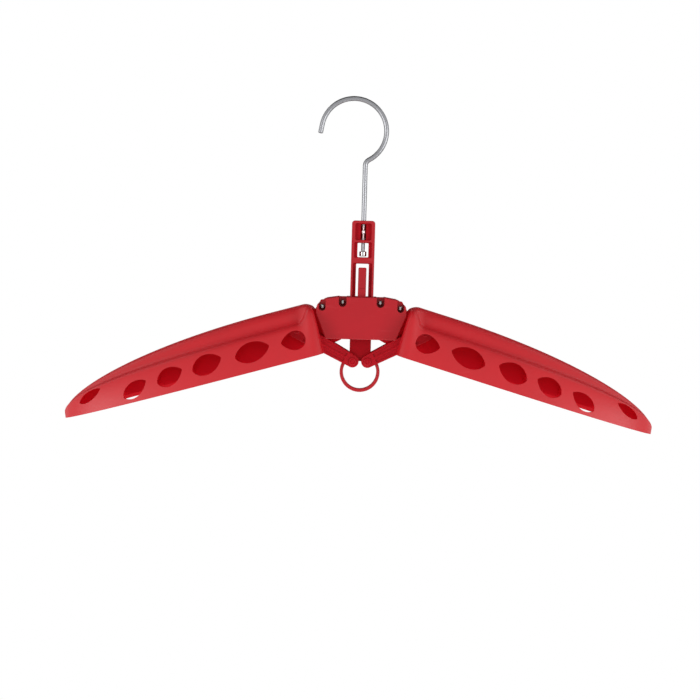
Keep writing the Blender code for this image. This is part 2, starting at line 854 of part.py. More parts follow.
def leaf_cutters():
    """The six holes of each side wall, as prisms that stop short of the wing's inside."""
    shapes = []
    for along_share, up_share, length_share, height_share, tilt in hole_shares:
        along = along_share * wing_length
        outline = leaf(
            along + wing_edge_from_hinge,
            up_share * wing_height - hinge_above_edge,
            length_share * wing_length,
            height_share * wing_height,
            tilt,
        )
        near = wing_widths(along)[0] * hole_reach_share
        shapes.append(plate_mesh((outline,), near, wing_half_width + overrun))
        shapes.append(plate_mesh((outline,), -wing_half_width - overrun, -near))
    return joined(shapes)


def knuckle_outline():
    """The plate in the wing's middle plane: hub on the hinge screw, sector below it, and its run into the wing."""
    lead = wing_slope + pi + (pi - sector_lead)
    trail = wing_slope - sector_trail
    pin_along, _ = wing_place(wing_pin_x, wing_pin_z)
    top = wing_height - wing_wall / 2 - hinge_above_edge
    low = knuckle_clear_of_edge - hinge_above_edge
    outline = arc(0, 0, hub_radius, pi / 2, lead - knuckle_lean, 2 * arc_steps)
    outline += arc(0, 0, sector_radius, lead, trail + tau, 2 * arc_steps)
    outline += [(pin_along, low), (knuckle_end, low), (knuckle_end, top)]
    return outline + [(wing_edge_from_hinge, top)]


def pin_slot_outline():
    """The wing pin's slot: an upright one, because a constant ratio only follows the linkage nearly."""
    pin_along, pin_up = wing_place(wing_pin_x, wing_pin_z)
    radius = link_pin_diameter / 2 + pin_side_play
    low = (pin_along + lost_motion_down * sin(wing_slope), pin_up - lost_motion_down * cos(wing_slope))
    high = (pin_along - lost_motion_up * sin(wing_slope), pin_up + lost_motion_up * cos(wing_slope))
    return arc(*low, radius, wing_slope - pi, wing_slope) + arc(*high, radius, wing_slope, wing_slope + pi)


def make_wings():
    stations = [share * end_radius for share in end_station_shares]
    stations += [share * wing_length for share in station_shares]
    inner_stations = [-overrun] + stations[:-1]
    cell = place("wing_hollow", wing_loft(inner_stations, wing_wall))
    ribs = [
        wing_box(
            share * wing_length - rib_thickness / 2,
            share * wing_length + rib_thickness / 2,
            wing_half_width + overrun,
            rib_clear_of_edge,
            wing_height + overrun,
        )
        for share in rib_shares
    ]
    spine_from = knuckle_end - wing_edge_from_hinge - overrun
    up = wing_height + overrun
    spine = wing_box(spine_from, wing_length, spine_thickness / 2, spine_clear_of_edge, up)
    for name, mesh in (("wing_ribs", joined(ribs)), ("wing_spine", spine)):
        boolean(cell, place(name, mesh))
    bpy.context.view_layer.update()
    bake(cell)

    pattern = place("wing_pattern", wing_loft(stations, 0))
    boolean(pattern, cell)
    boolean(pattern, place("leaf_holes", leaf_cutters()))
    half_knuckle = web_thickness / 2
    knuckle = plate_mesh((knuckle_outline(),), -half_knuckle, half_knuckle)
    boolean(pattern, place("wing_knuckle", knuckle), "UNION")
    bore = rod_mesh(screw_diameter / 2 + seat_gap, -stem_depth, stem_depth)
    boolean(pattern, place("hinge_bore", bore))
    slot = plate_mesh((pin_slot_outline(),), -stem_depth, stem_depth)
    boolean(pattern, place("pin_slot", slot))
    slot_to = crown_slot_from_edge + crown_slot_length
    slot_floor = wing_height - crown_slot_depth
    crown_slot = wing_box(crown_slot_from_edge, slot_to, crown_slot_width / 2, slot_floor, wing_height + overrun)
    boolean(pattern, place("crown_slot", crown_slot))
    tip = stations[-1] + wing_edge_from_hinge + tip_notch_radius - tip_notch_depth
    notch = post_mesh(tip_notch_radius, -wing_height, wing_height)
    notch.transform(Matrix.Translation((tip, 0, 0)))
    boolean(pattern, place("tip_notch", notch))
    mesh = bake(pattern)
    bpy.data.objects.remove(pattern)
    for side, carrier in wing_pivots.items():
        name = "wing_" + side
        smooth(place(name, mesh.copy(), carrier, red_plastic(name + "_red")))


# The links and their pins
def link_outline(inset):
    """The tapered outline round both eyes, drawn in by the inset."""
    inner = link_inner_radius - inset
    outer = link_outer_radius - inset
    lean = pi / 2 + asin((outer - inner) / link_length)
    around = arc(0, 0, inner, lean, tau - lean, 2 * arc_steps)
    return around + arc(link_length, 0, outer, -lean, lean, 2 * arc_steps)


def link_panels():
    """Two recessed panels between the rims and the middle rib of a link's face."""
    start = link_inner_radius + link_rim
    end = link_length - link_outer_radius - link_rim
    slope = (link_outer_radius - link_inner_radius) / link_length
    shapes = []
    for side in (-1, 1):
        low = link_rim / 2
        start_high = link_inner_radius + slope * start - link_rim
        end_high = link_inner_radius + slope * end - link_rim
        outline = [(start, side * low), (end, side * low), (end, side * end_high), (start, side * start_high)]
        shapes.append(outline)
    return shapes


def make_links():
    near = web_thickness / 2 + turn_gap
    far = near + link_plate
    pattern = place("link_pattern", plate_mesh((link_outline(0),), near, far))
    other = place("link_back", plate_mesh((link_outline(0),), -far, -near))
    web_half = near + link_plate / 2
    web = place("link_web", box_mesh((link_web_from, -web_half, -link_web_height), (link_web_to, web_half, 0)))
    boolean(pattern, web, "UNION")
    boolean(pattern, other, "UNION")
    floor = far - link_panel_depth
    panels = [plate_mesh((outline,), floor, far + overrun) for outline in link_panels()]
    panels += [plate_mesh((outline,), -far - overrun, -floor) for outline in link_panels()]
    boolean(pattern, place("link_panels", joined(panels)))
    eye = link_pin_diameter / 2 + seat_gap
    eyes = joined([rod_mesh(eye, -stem_depth, stem_depth, x) for x in (0, link_length)])
    boolean(pattern, place("link_eyes", eyes))
    mesh = bake(pattern)
    bpy.data.objects.remove(pattern)

    top = far + seat_gap + pin_head_height
    head = pin_head_diameter / 2
    edge = pin_head_height / 2
    shank = link_pin_diameter / 2
    profile = (
        (0, top),
        (head - edge, top),
        (head, top - edge),
        (head, top - pin_head_height),
        (shank, top - pin_head_height),
        (shank, pin_head_height - top),
        (head, pin_head_height - top),
        (head, edge - top),
        (head - edge, -top),
        (0, -top),
    )
    pin_mesh = bake(turned("pin_pattern", profile))
    for side, carrier in link_pivots.items():
        name = "link_" + side
        smooth(place(name, mesh.copy(), carrier, red_plastic(name + "_red")))
        for end, along in (("stem", 0), ("wing", link_length)):
            name = f"{end}_pin_{side}"
            pin = place(name, pin_mesh.copy(), carrier, red_plastic(name + "_red"))
            pin.location = (along, 0, 0)
            pin.rotation_euler = (pi / 2, 0, 0)
            smooth(pin)
    for obj in [obj for obj in cutters.objects if obj.name.endswith("_pattern")]:
        bpy.data.objects.remove(obj)


make_hook()
make_stem()
make_housing()
make_screws()
make_tongue()
make_wings()
make_links()
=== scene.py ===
# %% [markdown]
# # A folding wetsuit hanger
# The hanger is red moulded plastic and it folds. A steel hook turns in a stem, the stem slides in a housing of
# two shells, and two hollow wings are pulled down by links when the ring under the stem is pulled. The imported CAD
# model is loaded first and never moved, so every finer piece goes exactly where the machine drawing says.
# %% Load the frame
import json
from math import asin, atan2, cos, pi, radians, sin, tau

import bmesh
import bpy
from mathutils import Matrix, Vector


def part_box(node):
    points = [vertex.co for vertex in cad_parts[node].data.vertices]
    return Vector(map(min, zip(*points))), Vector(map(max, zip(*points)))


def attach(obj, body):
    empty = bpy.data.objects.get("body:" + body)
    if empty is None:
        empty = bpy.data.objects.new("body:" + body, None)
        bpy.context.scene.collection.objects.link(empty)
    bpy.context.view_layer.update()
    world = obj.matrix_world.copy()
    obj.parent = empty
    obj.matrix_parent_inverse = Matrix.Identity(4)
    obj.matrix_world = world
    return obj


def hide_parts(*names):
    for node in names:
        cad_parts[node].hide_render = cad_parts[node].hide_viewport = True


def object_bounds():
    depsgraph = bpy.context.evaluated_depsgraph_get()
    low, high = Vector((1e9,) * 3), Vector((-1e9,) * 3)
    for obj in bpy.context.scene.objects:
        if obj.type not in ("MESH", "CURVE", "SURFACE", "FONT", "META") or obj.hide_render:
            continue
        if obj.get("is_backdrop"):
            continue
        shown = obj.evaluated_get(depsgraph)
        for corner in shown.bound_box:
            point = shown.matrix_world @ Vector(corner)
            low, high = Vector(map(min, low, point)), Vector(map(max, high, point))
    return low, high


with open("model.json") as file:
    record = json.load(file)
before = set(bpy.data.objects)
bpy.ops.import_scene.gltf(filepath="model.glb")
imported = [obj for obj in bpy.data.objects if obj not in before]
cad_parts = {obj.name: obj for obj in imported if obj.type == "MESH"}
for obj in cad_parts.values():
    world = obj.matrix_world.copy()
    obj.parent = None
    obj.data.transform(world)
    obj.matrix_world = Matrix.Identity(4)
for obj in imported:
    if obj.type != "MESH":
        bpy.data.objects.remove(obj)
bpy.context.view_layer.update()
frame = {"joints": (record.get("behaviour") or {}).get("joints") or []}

mm = 0.001
places = {joint["name"]: Vector(joint["pos_m"]) for joint in frame["joints"] if "pos_m" in joint}

# %% [markdown]
# ## Shader groups for grain and wear
# Moulded plastic is never one flat colour. It flows into the mould in faint swirls, its skin has the very fine
# grain of the spark-eroded steel, and use leaves pale rubs. One group makes all three from Object coordinates, so
# that every red piece shares it with its own amounts. A second group draws the lines of drawn and turned steel.
# Groups rather than copies, because a change to the grain then reaches every piece.
# %% Helpers for shader nodes
def add(tree, kind, links=(), **settings):
    """A new node; settings are its properties, and links are (input, value or socket) pairs."""
    node = tree.nodes.new(kind)
    for key, value in settings.items():
        setattr(node, key, value)
    for socket, value in links:
        if isinstance(value, bpy.types.NodeSocket):
            tree.links.new(value, node.inputs[socket])
        else:
            node.inputs[socket].default_value = value
    return node


def maths(tree, operation, *values):
    links = list(enumerate(values))
    return add(tree, "ShaderNodeMath", links, operation=operation).outputs[0]


def ramp(tree, value, low, high):
    """0 up to low and 1 from high on."""
    return add(tree, "ShaderNodeMapRange", [(0, value), (1, low), (2, high)]).outputs[0]


def noise(tree, where, scale, detail=3, roughness=0.5, distortion=0):
    values = [("Vector", where), ("Scale", scale), ("Detail", detail)]
    values += [("Roughness", roughness), ("Distortion", distortion)]
    return add(tree, "ShaderNodeTexNoise", values).outputs["Fac"]


def new_group(name, inputs, outputs):
    """A shader group with float inputs {name: default} and outputs {name: type}."""
    group = bpy.data.node_groups.new(name, "ShaderNodeTree")
    for socket, default in inputs.items():
        made = group.interface.new_socket(socket, in_out="INPUT", socket_type="NodeSocketFloat")
        made.default_value = default
    for socket, kind in outputs.items():
        group.interface.new_socket(socket, in_out="OUTPUT", socket_type="NodeSocket" + kind)
    given = add(group, "NodeGroupInput").outputs
    where = add(group, "ShaderNodeTexCoord").outputs["Object"]
    return group, given, add(group, "NodeGroupOutput").inputs, where


# %% [markdown]
# ### Moulded plastic
# Slow swirls vary the shade, long scuffs lie in soft patches where use has rubbed the skin, and a very fine grain
# gives the bump. An image texture would show its tiling on pieces of such different sizes.
# %% The moulded plastic group
def make_moulded_group():
    group, given, out, where = new_group(
        "moulded_surface",
        {"Flow": 0.1, "Rubs": 0.2, "Grain": 0.02 * mm, "Roughness": 0.4},
        {"Shade": "Float", "Rubbed": "Float", "Roughness": "Float", "Normal": "Vector"},
    )
    swirl = noise(group, where, 24, distortion=1.4)
    shade = maths(group, "MULTIPLY_ADD", maths(group, "SUBTRACT", swirl, 0.5), given["Flow"], 1)
    group.links.new(shade, out["Shade"])

    slanted = add(group, "ShaderNodeMapping",
                  [("Vector", where), ("Rotation", (0.3, 0.5, 0.2)), ("Scale", (60, 300, 420))])
    scuffs = ramp(group, noise(group, slanted.outputs[0], 1, detail=4), 0.60, 0.74)
    patches = ramp(group, noise(group, where, 34, detail=2), 0.48, 0.68)
    rubbed = maths(group, "MULTIPLY", maths(group, "MULTIPLY", scuffs, patches), given["Rubs"])
    group.links.new(rubbed, out["Rubbed"])

    grain = noise(group, where, 1600, detail=2, roughness=0.6)
    rough = maths(group, "MULTIPLY_ADD", maths(group, "SUBTRACT", grain, 0.5), 0.18, given["Roughness"])
    rough = maths(group, "MULTIPLY_ADD", maths(group, "SUBTRACT", swirl, 0.5), 0.10, rough)
    rough = maths(group, "MULTIPLY_ADD", rubbed, 0.35, rough)
    group.links.new(rough, out["Roughness"])
    height = maths(group, "MULTIPLY", grain, given["Grain"])
    bump = add(group, "ShaderNodeBump", [("Height", height), ("Distance", 1), ("Strength", 1)])
    group.links.new(bump.outputs[0], out["Normal"])
    return group


moulded_surface = make_moulded_group()


# %% [markdown]
# ### Drawn and turned steel
# A die leaves fine lines along the wire. Noise squeezed across the wire and stretched along it draws them, and
# the same noise varies the roughness a little, which is what makes satin steel look soft.
# %% The drawn steel group
def make_steel_group():
    group, given, out, where = new_group(
        "drawn_steel",
        {"Lines": 0.15, "Line Height": 0.006 * mm, "Roughness": 0.25},
        {"Shade": "Float", "Roughness": "Float", "Normal": "Vector"},
    )
    stretched = add(group, "ShaderNodeMapping", [("Vector", where), ("Scale", (2600, 2600, 70))])
    lines = noise(group, stretched.outputs[0], 1)
    cloud = noise(group, where, 140)
    both = maths(group, "SUBTRACT", maths(group, "ADD", lines, cloud), 1)
    group.links.new(maths(group, "MULTIPLY_ADD", both, given["Lines"], 1), out["Shade"])
    rough = maths(group, "MULTIPLY_ADD", both, 0.14, given["Roughness"])
    group.links.new(rough, out["Roughness"])
    height = maths(group, "MULTIPLY", lines, given["Line Height"])
    bump = add(group, "ShaderNodeBump", [("Height", height), ("Distance", 1), ("Strength", 1)])
    group.links.new(bump.outputs[0], out["Normal"])
    return group


drawn_steel = make_steel_group()
print("shader groups:", moulded_surface.name, "and", drawn_steel.name)

# %% [markdown]
# ## The finishes
# All the plastic is one red: the wings' brighter red and the middle pieces' deeper red are painted light and shade.
# The stem and the tongue slide and are handled, so they rub paler and glossier than the wings, and each material
# places the group with its own values. The colour is multiplied by the group's shade and mixed towards a chalky
# pink where the skin is rubbed. The wings' insides take a red of their own with no rubs and little sheen, and the
# low sheen is painted shade for the hollow, deeper through the holes. The Principled shader stays in the material.
# %% Red plastic and satin steel
wing_red, hollow_shade_red = (0.60, 0.0025, 0.010), (0.62, 0.0015, 0.010)
# The deep red is painted shade: the upright middle pieces catch less light than the wings' tilted walls.
shade_deep_red, link_red = (0.45, 0.0025, 0.010), (0.50, 0.0025, 0.012)
rubbed_red = (0.62, 0.06, 0.07, 1)
# The pale grey of the hook's necks is a painted highlight, not a steel of its own.
hook_grey, slot_highlight_grey, fastener_grey = (0.27, 0.272, 0.285), (0.86, 0.84, 0.84), (0.42, 0.415, 0.41)


def finish_with(name, group, values, colour):
    """A material whose Principled shader takes a group's roughness, normal and shaded colour."""
    material = bpy.data.materials.new(name)
    material.use_nodes = True
    tree = material.node_tree
    shader = tree.nodes["Principled BSDF"]
    surface = add(tree, "ShaderNodeGroup", node_tree=group)
    for socket, value in values.items():
        surface.inputs[socket].default_value = value
    for socket in ("Roughness", "Normal"):
        tree.links.new(surface.outputs[socket], shader.inputs[socket])
    shaded = add(tree, "ShaderNodeVectorMath", [(0, colour), ("Scale", surface.outputs["Shade"])], operation="SCALE")
    return material, tree, shader, surface, shaded.outputs[0]


def plastic(name, flow, rubs, roughness, base=shade_deep_red, sheen=0.42):
    values = {"Flow": flow, "Rubs": rubs, "Grain": 0.012 * mm, "Roughness": roughness}
    material, tree, shader, surface, shaded = finish_with(name, moulded_surface, values, base)
    mixed = add(tree, "ShaderNodeMix", data_type="RGBA")
    tree.links.new(surface.outputs["Rubbed"], mixed.inputs["Factor"])
    tree.links.new(shaded, mixed.inputs[6])
    mixed.inputs[7].default_value = rubbed_red
    tree.links.new(mixed.outputs[2], shader.inputs["Base Color"])
    shader.inputs["Specular IOR Level"].default_value = sheen
    return material


def steel(name, grey, roughness, lines):
    values = {"Lines": lines, "Line Height": 0.0015 * mm, "Roughness": roughness}
    material, tree, shader, surface, shaded = finish_with(name, drawn_steel, values, grey)
    tree.links.new(shaded, shader.inputs["Base Color"])
    shader.inputs["Metallic"].default_value = 1
    return material


finishes = {
    "wing": plastic("wing_red", flow=0.16, rubs=0.22, roughness=0.42, base=wing_red, sheen=0.55),
    # Little sheen on the wings' insides is painted shade for the hollow.
    "wing_hollow_shade": plastic("wing_hollow_shade_red", flow=0.10, rubs=0.0, roughness=0.50, base=hollow_shade_red, sheen=0.10),
    "housing": plastic("housing_red", flow=0.18, rubs=0.30, roughness=0.40),
    "stem": plastic("stem_red", flow=0.12, rubs=0.35, roughness=0.36),
    # Little sheen on the stem's sunk faces and web is painted shade for the recesses.
    "stem_recess_shade": plastic("stem_recess_shade_red", flow=0.12, rubs=0.0, roughness=0.45, sheen=0.12),
    # The links' low sheen is painted shade for their place under the housing; their red is lighter to make up for it.
    "link": plastic("link_red", flow=0.12, rubs=0.32, roughness=0.40, base=link_red, sheen=0.20),
    "tongue": plastic("tongue_red", flow=0.12, rubs=0.45, roughness=0.34),
    "hook": steel("hook_steel", hook_grey, roughness=0.36, lines=0.12),
    "hook_slot_highlight": steel("hook_slot_highlight_steel", slot_highlight_grey, roughness=0.45, lines=0.06),
    "fastener": steel("fastener_steel", fastener_grey, roughness=0.20, lines=0.25),
}
print("finishes:", ", ".join(finishes))

# %% [markdown]
# ## Shaping tools
# Each piece starts as a bmesh and ends the same way: doubles merged, normals recalculated, smooth shading with
# the sharp edges kept, one finish, the body that it rides on, and the CAD nodes that it stands for. Pieces are
# drawn with the stem's axis at x = 0, as the machine drawing has it, and moved to the hook's swivel at the end.
# Exact Booleans cut and join them and are applied at once. The one modifier that a finished piece keeps weighs
# its normals by face area, so that flat faces stay flat beside their rounded edges.
# %% Meshes, plates and rods
axis_x = places["hook_swivel"].x


def loose(bm, name="form"):
    """A helper object of a bmesh."""
    bmesh.ops.remove_doubles(bm, verts=bm.verts, dist=mm / 1000)
    bmesh.ops.recalc_face_normals(bm, faces=bm.faces)
    mesh = bpy.data.meshes.new(name)
    bm.to_mesh(mesh)
    bm.free()
    obj = bpy.data.objects.new(name, mesh)
    bpy.context.scene.collection.objects.link(obj)
    return obj


def made_verts(made):
    return [item for item in made["geom"] if isinstance(item, bmesh.types.BMVert)]


def made_edges(made):
    return [item for item in made["geom"] if isinstance(item, bmesh.types.BMEdge)]


def arc(x, z, radius, start, end, steps=12):
    """Points along an arc, angles from +X towards +Z."""
    angles = [start + (end - start) * i / steps for i in range(steps + 1)]
    return [(x + radius * cos(angle), z + radius * sin(angle)) for angle in angles]


def rounded(corners, steps=8):
    """A loop through (x, z, radius) corners, each rounded off with its radius."""
    outline = []
    for i, (x, z, radius) in enumerate(corners):
        here = Vector((x, z))
        before = (Vector(corners[i - 1][:2]) - here).normalized()
        after = (Vector(corners[(i + 1) % len(corners)][:2]) - here).normalized()
        if radius == 0:
            outline.append((x, z))
            continue
        half = before.angle(after) / 2
        centre = here + (before + after).normalized() * radius / sin(half)
        first = here + before * radius / sin(half) * cos(half) - centre
        last = here + after * radius / sin(half) * cos(half) - centre
        start = atan2(first.y, first.x)
        sweep = (atan2(last.y, last.x) - start + pi) % tau - pi
        outline += arc(centre.x, centre.y, radius, start, start + sweep, steps)
    return outline


def rectangle(x, z_low, z_high, corner=0):
    return rounded(((-x, z_low, corner), (x, z_low, corner), (x, z_high, corner), (-x, z_high, corner)), 5)


def plate(points, y_from, y_to, edge=0):
    """A plate square to Y from a loop of (x, z) points, with its rims rounded by edge."""
    bm = bmesh.new()
    ring = [bm.verts.new((x, y_from, z)) for x, z in points]
    edges = [bm.edges.new((ring[i - 1], ring[i])) for i in range(len(ring))]
    face = bmesh.ops.contextual_create(bm, geom=edges)["faces"]
    moved = made_verts(bmesh.ops.extrude_face_region(bm, geom=face))
    bmesh.ops.translate(bm, verts=moved, vec=(0, y_to - y_from, 0))
    if edge:
        rims = [e for e in bm.edges if abs(e.verts[0].co.y - e.verts[1].co.y) < mm / 1000]
        round_edges(bm, rims, edge)
    return loose(bm)


def round_edges(bm, edges, radius, segments=3):
    bmesh.ops.bevel(
        bm, geom=edges, offset=radius, offset_type="OFFSET", affect="EDGES",
        segments=segments, profile=0.5, material=-1, clamp_overlap=True,
    )


def rod(radius, y_from, y_to, x=0, z=0, segments=48, edge=0, turn=0):
    """A round or many-sided rod along Y."""
    outline = arc(x, z, radius, turn, turn + tau, segments)[:-1]
    return plate(outline, y_from, y_to, edge)


def block(low, high):
    bm = bmesh.new()
    bmesh.ops.create_cube(bm, size=1)
    low, high = Vector(low), Vector(high)
    bmesh.ops.scale(bm, vec=high - low, verts=bm.verts)
    bmesh.ops.translate(bm, vec=(low + high) / 2, verts=bm.verts)
    return loose(bm)


def post(radius, z_from, z_to, segments=48, x=0):
    """A round rod along Z."""
    bm = bmesh.new()
    bmesh.ops.create_cone(bm, cap_ends=True, segments=segments, radius1=radius, radius2=radius, depth=z_to - z_from)
    bmesh.ops.rotate(bm, verts=bm.verts, cent=(0, 0, 0), matrix=Matrix.Rotation(pi / segments, 3, "Z"))
    bmesh.ops.translate(bm, vec=(x, 0, (z_from + z_to) / 2), verts=bm.verts)
    return loose(bm)


def turned(profile, axis="Z", segments=64):
    """A turned solid: a closed loop of (radius, height) points spun a full turn round Z, or laid along Y."""
    bm = bmesh.new()
    points = [bm.verts.new((radius, 0, height)) for radius, height in profile]
    edges = [bm.edges.new((points[i - 1], points[i])) for i in range(len(points))]
    bmesh.ops.spin(bm, geom=points + edges, cent=(0, 0, 0), axis=(0, 0, 1), angle=tau, steps=segments, use_merge=True)
    if axis == "Y":
        bmesh.ops.rotate(bm, verts=bm.verts, cent=(0, 0, 0), matrix=Matrix.Rotation(pi / 2, 3, "X"))
    return loose(bm)


# %% [markdown]
# ### Cutting, joining and finishing
# Cutters are ordinary pieces that are used up by the cut. A piece may take a second finish on some of its faces:
# a painted highlight on the hook's necks, or painted shade with little sheen on recessed and hollow faces.
# %% Cutting, joining, copying and finishing
def combine(obj, others, operation="DIFFERENCE"):
    """Applies exact Booleans with each of the others, which are then removed."""
    for other in others:
        modifier = obj.modifiers.new("Combine", "BOOLEAN")
        modifier.operation = operation
        modifier.solver = "EXACT"
        modifier.object = other
    bpy.context.view_layer.update()
    mesh = bpy.data.meshes.new_from_object(obj.evaluated_get(bpy.context.evaluated_depsgraph_get()))
    obj.modifiers.clear()
    obj.data = mesh
    for other in others:
        bpy.data.objects.remove(other)
    return obj


def cut(obj, *others):
    return combine(obj, others)


def join(obj, *others):
    return combine(obj, others, "UNION")


def moved(obj, matrix):
    obj.data.transform(matrix)
    return obj


def copy_of(obj):
    made = bpy.data.objects.new("copy", obj.data.copy())
    bpy.context.scene.collection.objects.link(made)
    return made


def soften(obj, radius, keeps, angle=radians(50), segments=2):
    """Rounds the sharp edges whose two ends pass a test of place."""
    bm = bmesh.new()
    bm.from_mesh(obj.data)
    bmesh.ops.remove_doubles(bm, verts=bm.verts, dist=mm / 200)
    bmesh.ops.dissolve_limit(bm, angle_limit=radians(0.3), verts=bm.verts, edges=bm.edges)
    edges = [e for e in bm.edges if len(e.link_faces) == 2 and e.calc_face_angle() > angle
             and keeps(e.verts[0].co) and keeps(e.verts[1].co)]
    round_edges(bm, edges, radius, segments)
    bm.to_mesh(obj.data)
    bm.free()
    return obj


def finish_piece(obj, name, body, finish, node, sharp=radians(35)):
    """Names and places a piece, gives it its finish and body, and lets it stand for its CAD node."""
    bm = bmesh.new()
    bm.from_mesh(obj.data)
    bmesh.ops.remove_doubles(bm, verts=bm.verts, dist=mm / 500)
    bmesh.ops.recalc_face_normals(bm, faces=bm.faces)
    bmesh.ops.translate(bm, verts=bm.verts, vec=(axis_x, 0, 0))
    bm.to_mesh(obj.data)
    bm.free()
    obj.name = obj.data.name = name
    obj.data.materials.clear()
    obj.data.materials.append(finishes[finish])
    obj.data.shade_smooth()
    obj.data.set_sharp_from_angle(angle=sharp)
    weighted = obj.modifiers.new("Weighted", "WEIGHTED_NORMAL")
    weighted.keep_sharp = True
    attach(obj, body)
    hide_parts(node)
    low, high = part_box(node)
    size = [max(v.co[i] for v in obj.data.vertices) - min(v.co[i] for v in obj.data.vertices) for i in range(3)]
    print(name, "mm:", [round(s / mm, 1) for s in size], "CAD:", [round(s / mm, 1) for s in high - low])
    return obj


def second_finish(obj, finish, belongs):
    """Gives a finished piece a second finish, on the faces whose centre and normal pass a test."""
    obj.data.materials.append(finishes[finish])
    for face in obj.data.polygons:
        face.material_index = int(belongs(face.center - Vector((axis_x, 0, 0)), face.normal))
    print(finish, "on", sum(face.material_index for face in obj.data.polygons), "of", len(obj.data.polygons), "faces")


print("shaping tools ready, with the stem's axis at x =", round(axis_x / mm, 1), "mm")

# %% [markdown]
# ## The hook
# The real hook is one length of satin stainless wire, bent cold. It is made here the way it is bent: a circle at
# the wire's lower end is pulled up the shank, past two turned necks inside the stem's head, and then spun round
# the tight bend and round the loop. A spin keeps the wire round all the way, as a bending tool does. The steel
# round the necks is painted pale grey, a painted highlight that makes the wire in the stem's slot look lit.
# %% Draw the shank and bend the loop
wire, shank, neck = 2.2 * mm, 1.6 * mm, 1.2 * mm
loop_radius, bend_radius = 29.5 * mm, 6 * mm
tip_angle, tip_run, tip_edge = radians(170), 8 * mm, 0.9 * mm
hook_low, hook_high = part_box("hook")
stem_low, stem_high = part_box("stem")
collar_low, collar_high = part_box("hook_collar")
head_bottom = stem_high.z - 20 * mm
neck_heights = (stem_high.z - 13.8 * mm, stem_high.z - 6.6 * mm)
neck_half, neck_slope = 1.95 * mm, 0.5 * mm

loop_centre = Vector((-axis_x, 0, wire - loop_radius))
reach = loop_radius + bend_radius
leave = -(pi / 2 - asin((axis_x + bend_radius) / reach))
bend_centre = loop_centre + Vector((cos(leave), 0, sin(leave))) * reach


def pull(bm, ring, height, share):
    """Pulls a ring of edges lying square to Z up to a height, scaling it by a share."""
    made = bmesh.ops.extrude_edge_only(bm, edges=ring)
    verts = made_verts(made)
    bmesh.ops.scale(bm, verts=verts, vec=(share, share, 1))
    bmesh.ops.translate(bm, verts=verts, vec=(0, 0, height - verts[0].co.z))
    return made_edges(made)


def spun(bm, ring, centre, angle, steps):
    made = bmesh.ops.spin(bm, geom=ring, cent=centre, axis=(0, 1, 0), angle=angle, steps=steps)
    return [item for item in made["geom_last"] if isinstance(item, bmesh.types.BMEdge)]


bm = bmesh.new()
bmesh.ops.create_circle(bm, cap_ends=True, radius=shank, segments=32)
bmesh.ops.translate(bm, verts=bm.verts, vec=(0, 0, collar_low.z))
ring = list(bm.edges)
steps = [(head_bottom + 0.3 * mm, shank), (head_bottom + 0.6 * mm, wire)]
for height in neck_heights:
    steps += [(height - neck_half - neck_slope, wire), (height - neck_half, neck)]
    steps += [(height + neck_half, neck), (height + neck_half + neck_slope, wire)]
steps.append((bend_centre.z, wire))
before = shank
for height, radius in steps:
    ring = pull(bm, ring, height, radius / before)
    before = radius
ring = spun(bm, ring, bend_centre, -leave, 14)
ring = spun(bm, ring, loop_centre, leave - tip_angle, 90)
made = bmesh.ops.extrude_edge_only(bm, edges=ring)
bmesh.ops.translate(bm, verts=made_verts(made), vec=Vector((-sin(tip_angle), 0, cos(tip_angle))) * tip_run)
tip = made_edges(made)
bmesh.ops.contextual_create(bm, geom=tip)
round_edges(bm, tip, tip_edge, 4)
hook = finish_piece(loose(bm), "hook_wire", "hook", "hook", "hook")
# The pale band round the necks is a painted highlight for the wire inside the slot.
second_finish(hook, "hook_slot_highlight", lambda p, normal: neck_heights[0] - 3 * mm < p.z < neck_heights[1] + 3 * mm)

# %% [markdown]
# ## The collar
# A small turned ring is pressed on the wire's lower end, so the hook turns but can't be pulled out. It is a
# turned part, so its section is spun round Z, with its outer corners broken as a lathe leaves them.
# %% Turn the collar
bore, outer = shank + 0.05 * mm, 3.2 * mm
low, high = collar_low.z, collar_high.z
corner = 0.6 * mm
profile = [(bore, low)] + arc(outer - corner, low + corner, corner, -pi / 2, 0, 5)
profile += arc(outer - corner, high - corner, corner, 0, pi / 2, 5) + [(bore, high)]
finish_piece(turned(profile), "hook_collar_ring", "hook", "fastener", "hook_collar")

# %% [markdown]
# ## The stem and its pull ring
# The stem is a moulded frame with a head for the hook, two windows for the tongue and the hook's collar, and the
# ring that the user pulls. The mould leaves a raised rim round both windows, so the faces are sunk there. It is
# built from plates with rounded rims, joined first and cut after, so that the cuts stay clean. Hands never rub
# the sunk faces, so they have no rubs, and their low sheen is painted shade, as is that of the web under the housing.
# %% Plates of the stem
stem_half, stem_front = 10.5 * mm, 7 * mm
web_half, seat_gap, over = 3.5 * mm, 0.3 * mm, 5 * mm
link_height, ring_height = -235.6 * mm, -245.4 * mm
foot_bottom, foot_top = -214.4 * mm, -210.0 * mm
pin_spread, boss, pin_radius = 6.7 * mm, 4.8 * mm, 2 * mm

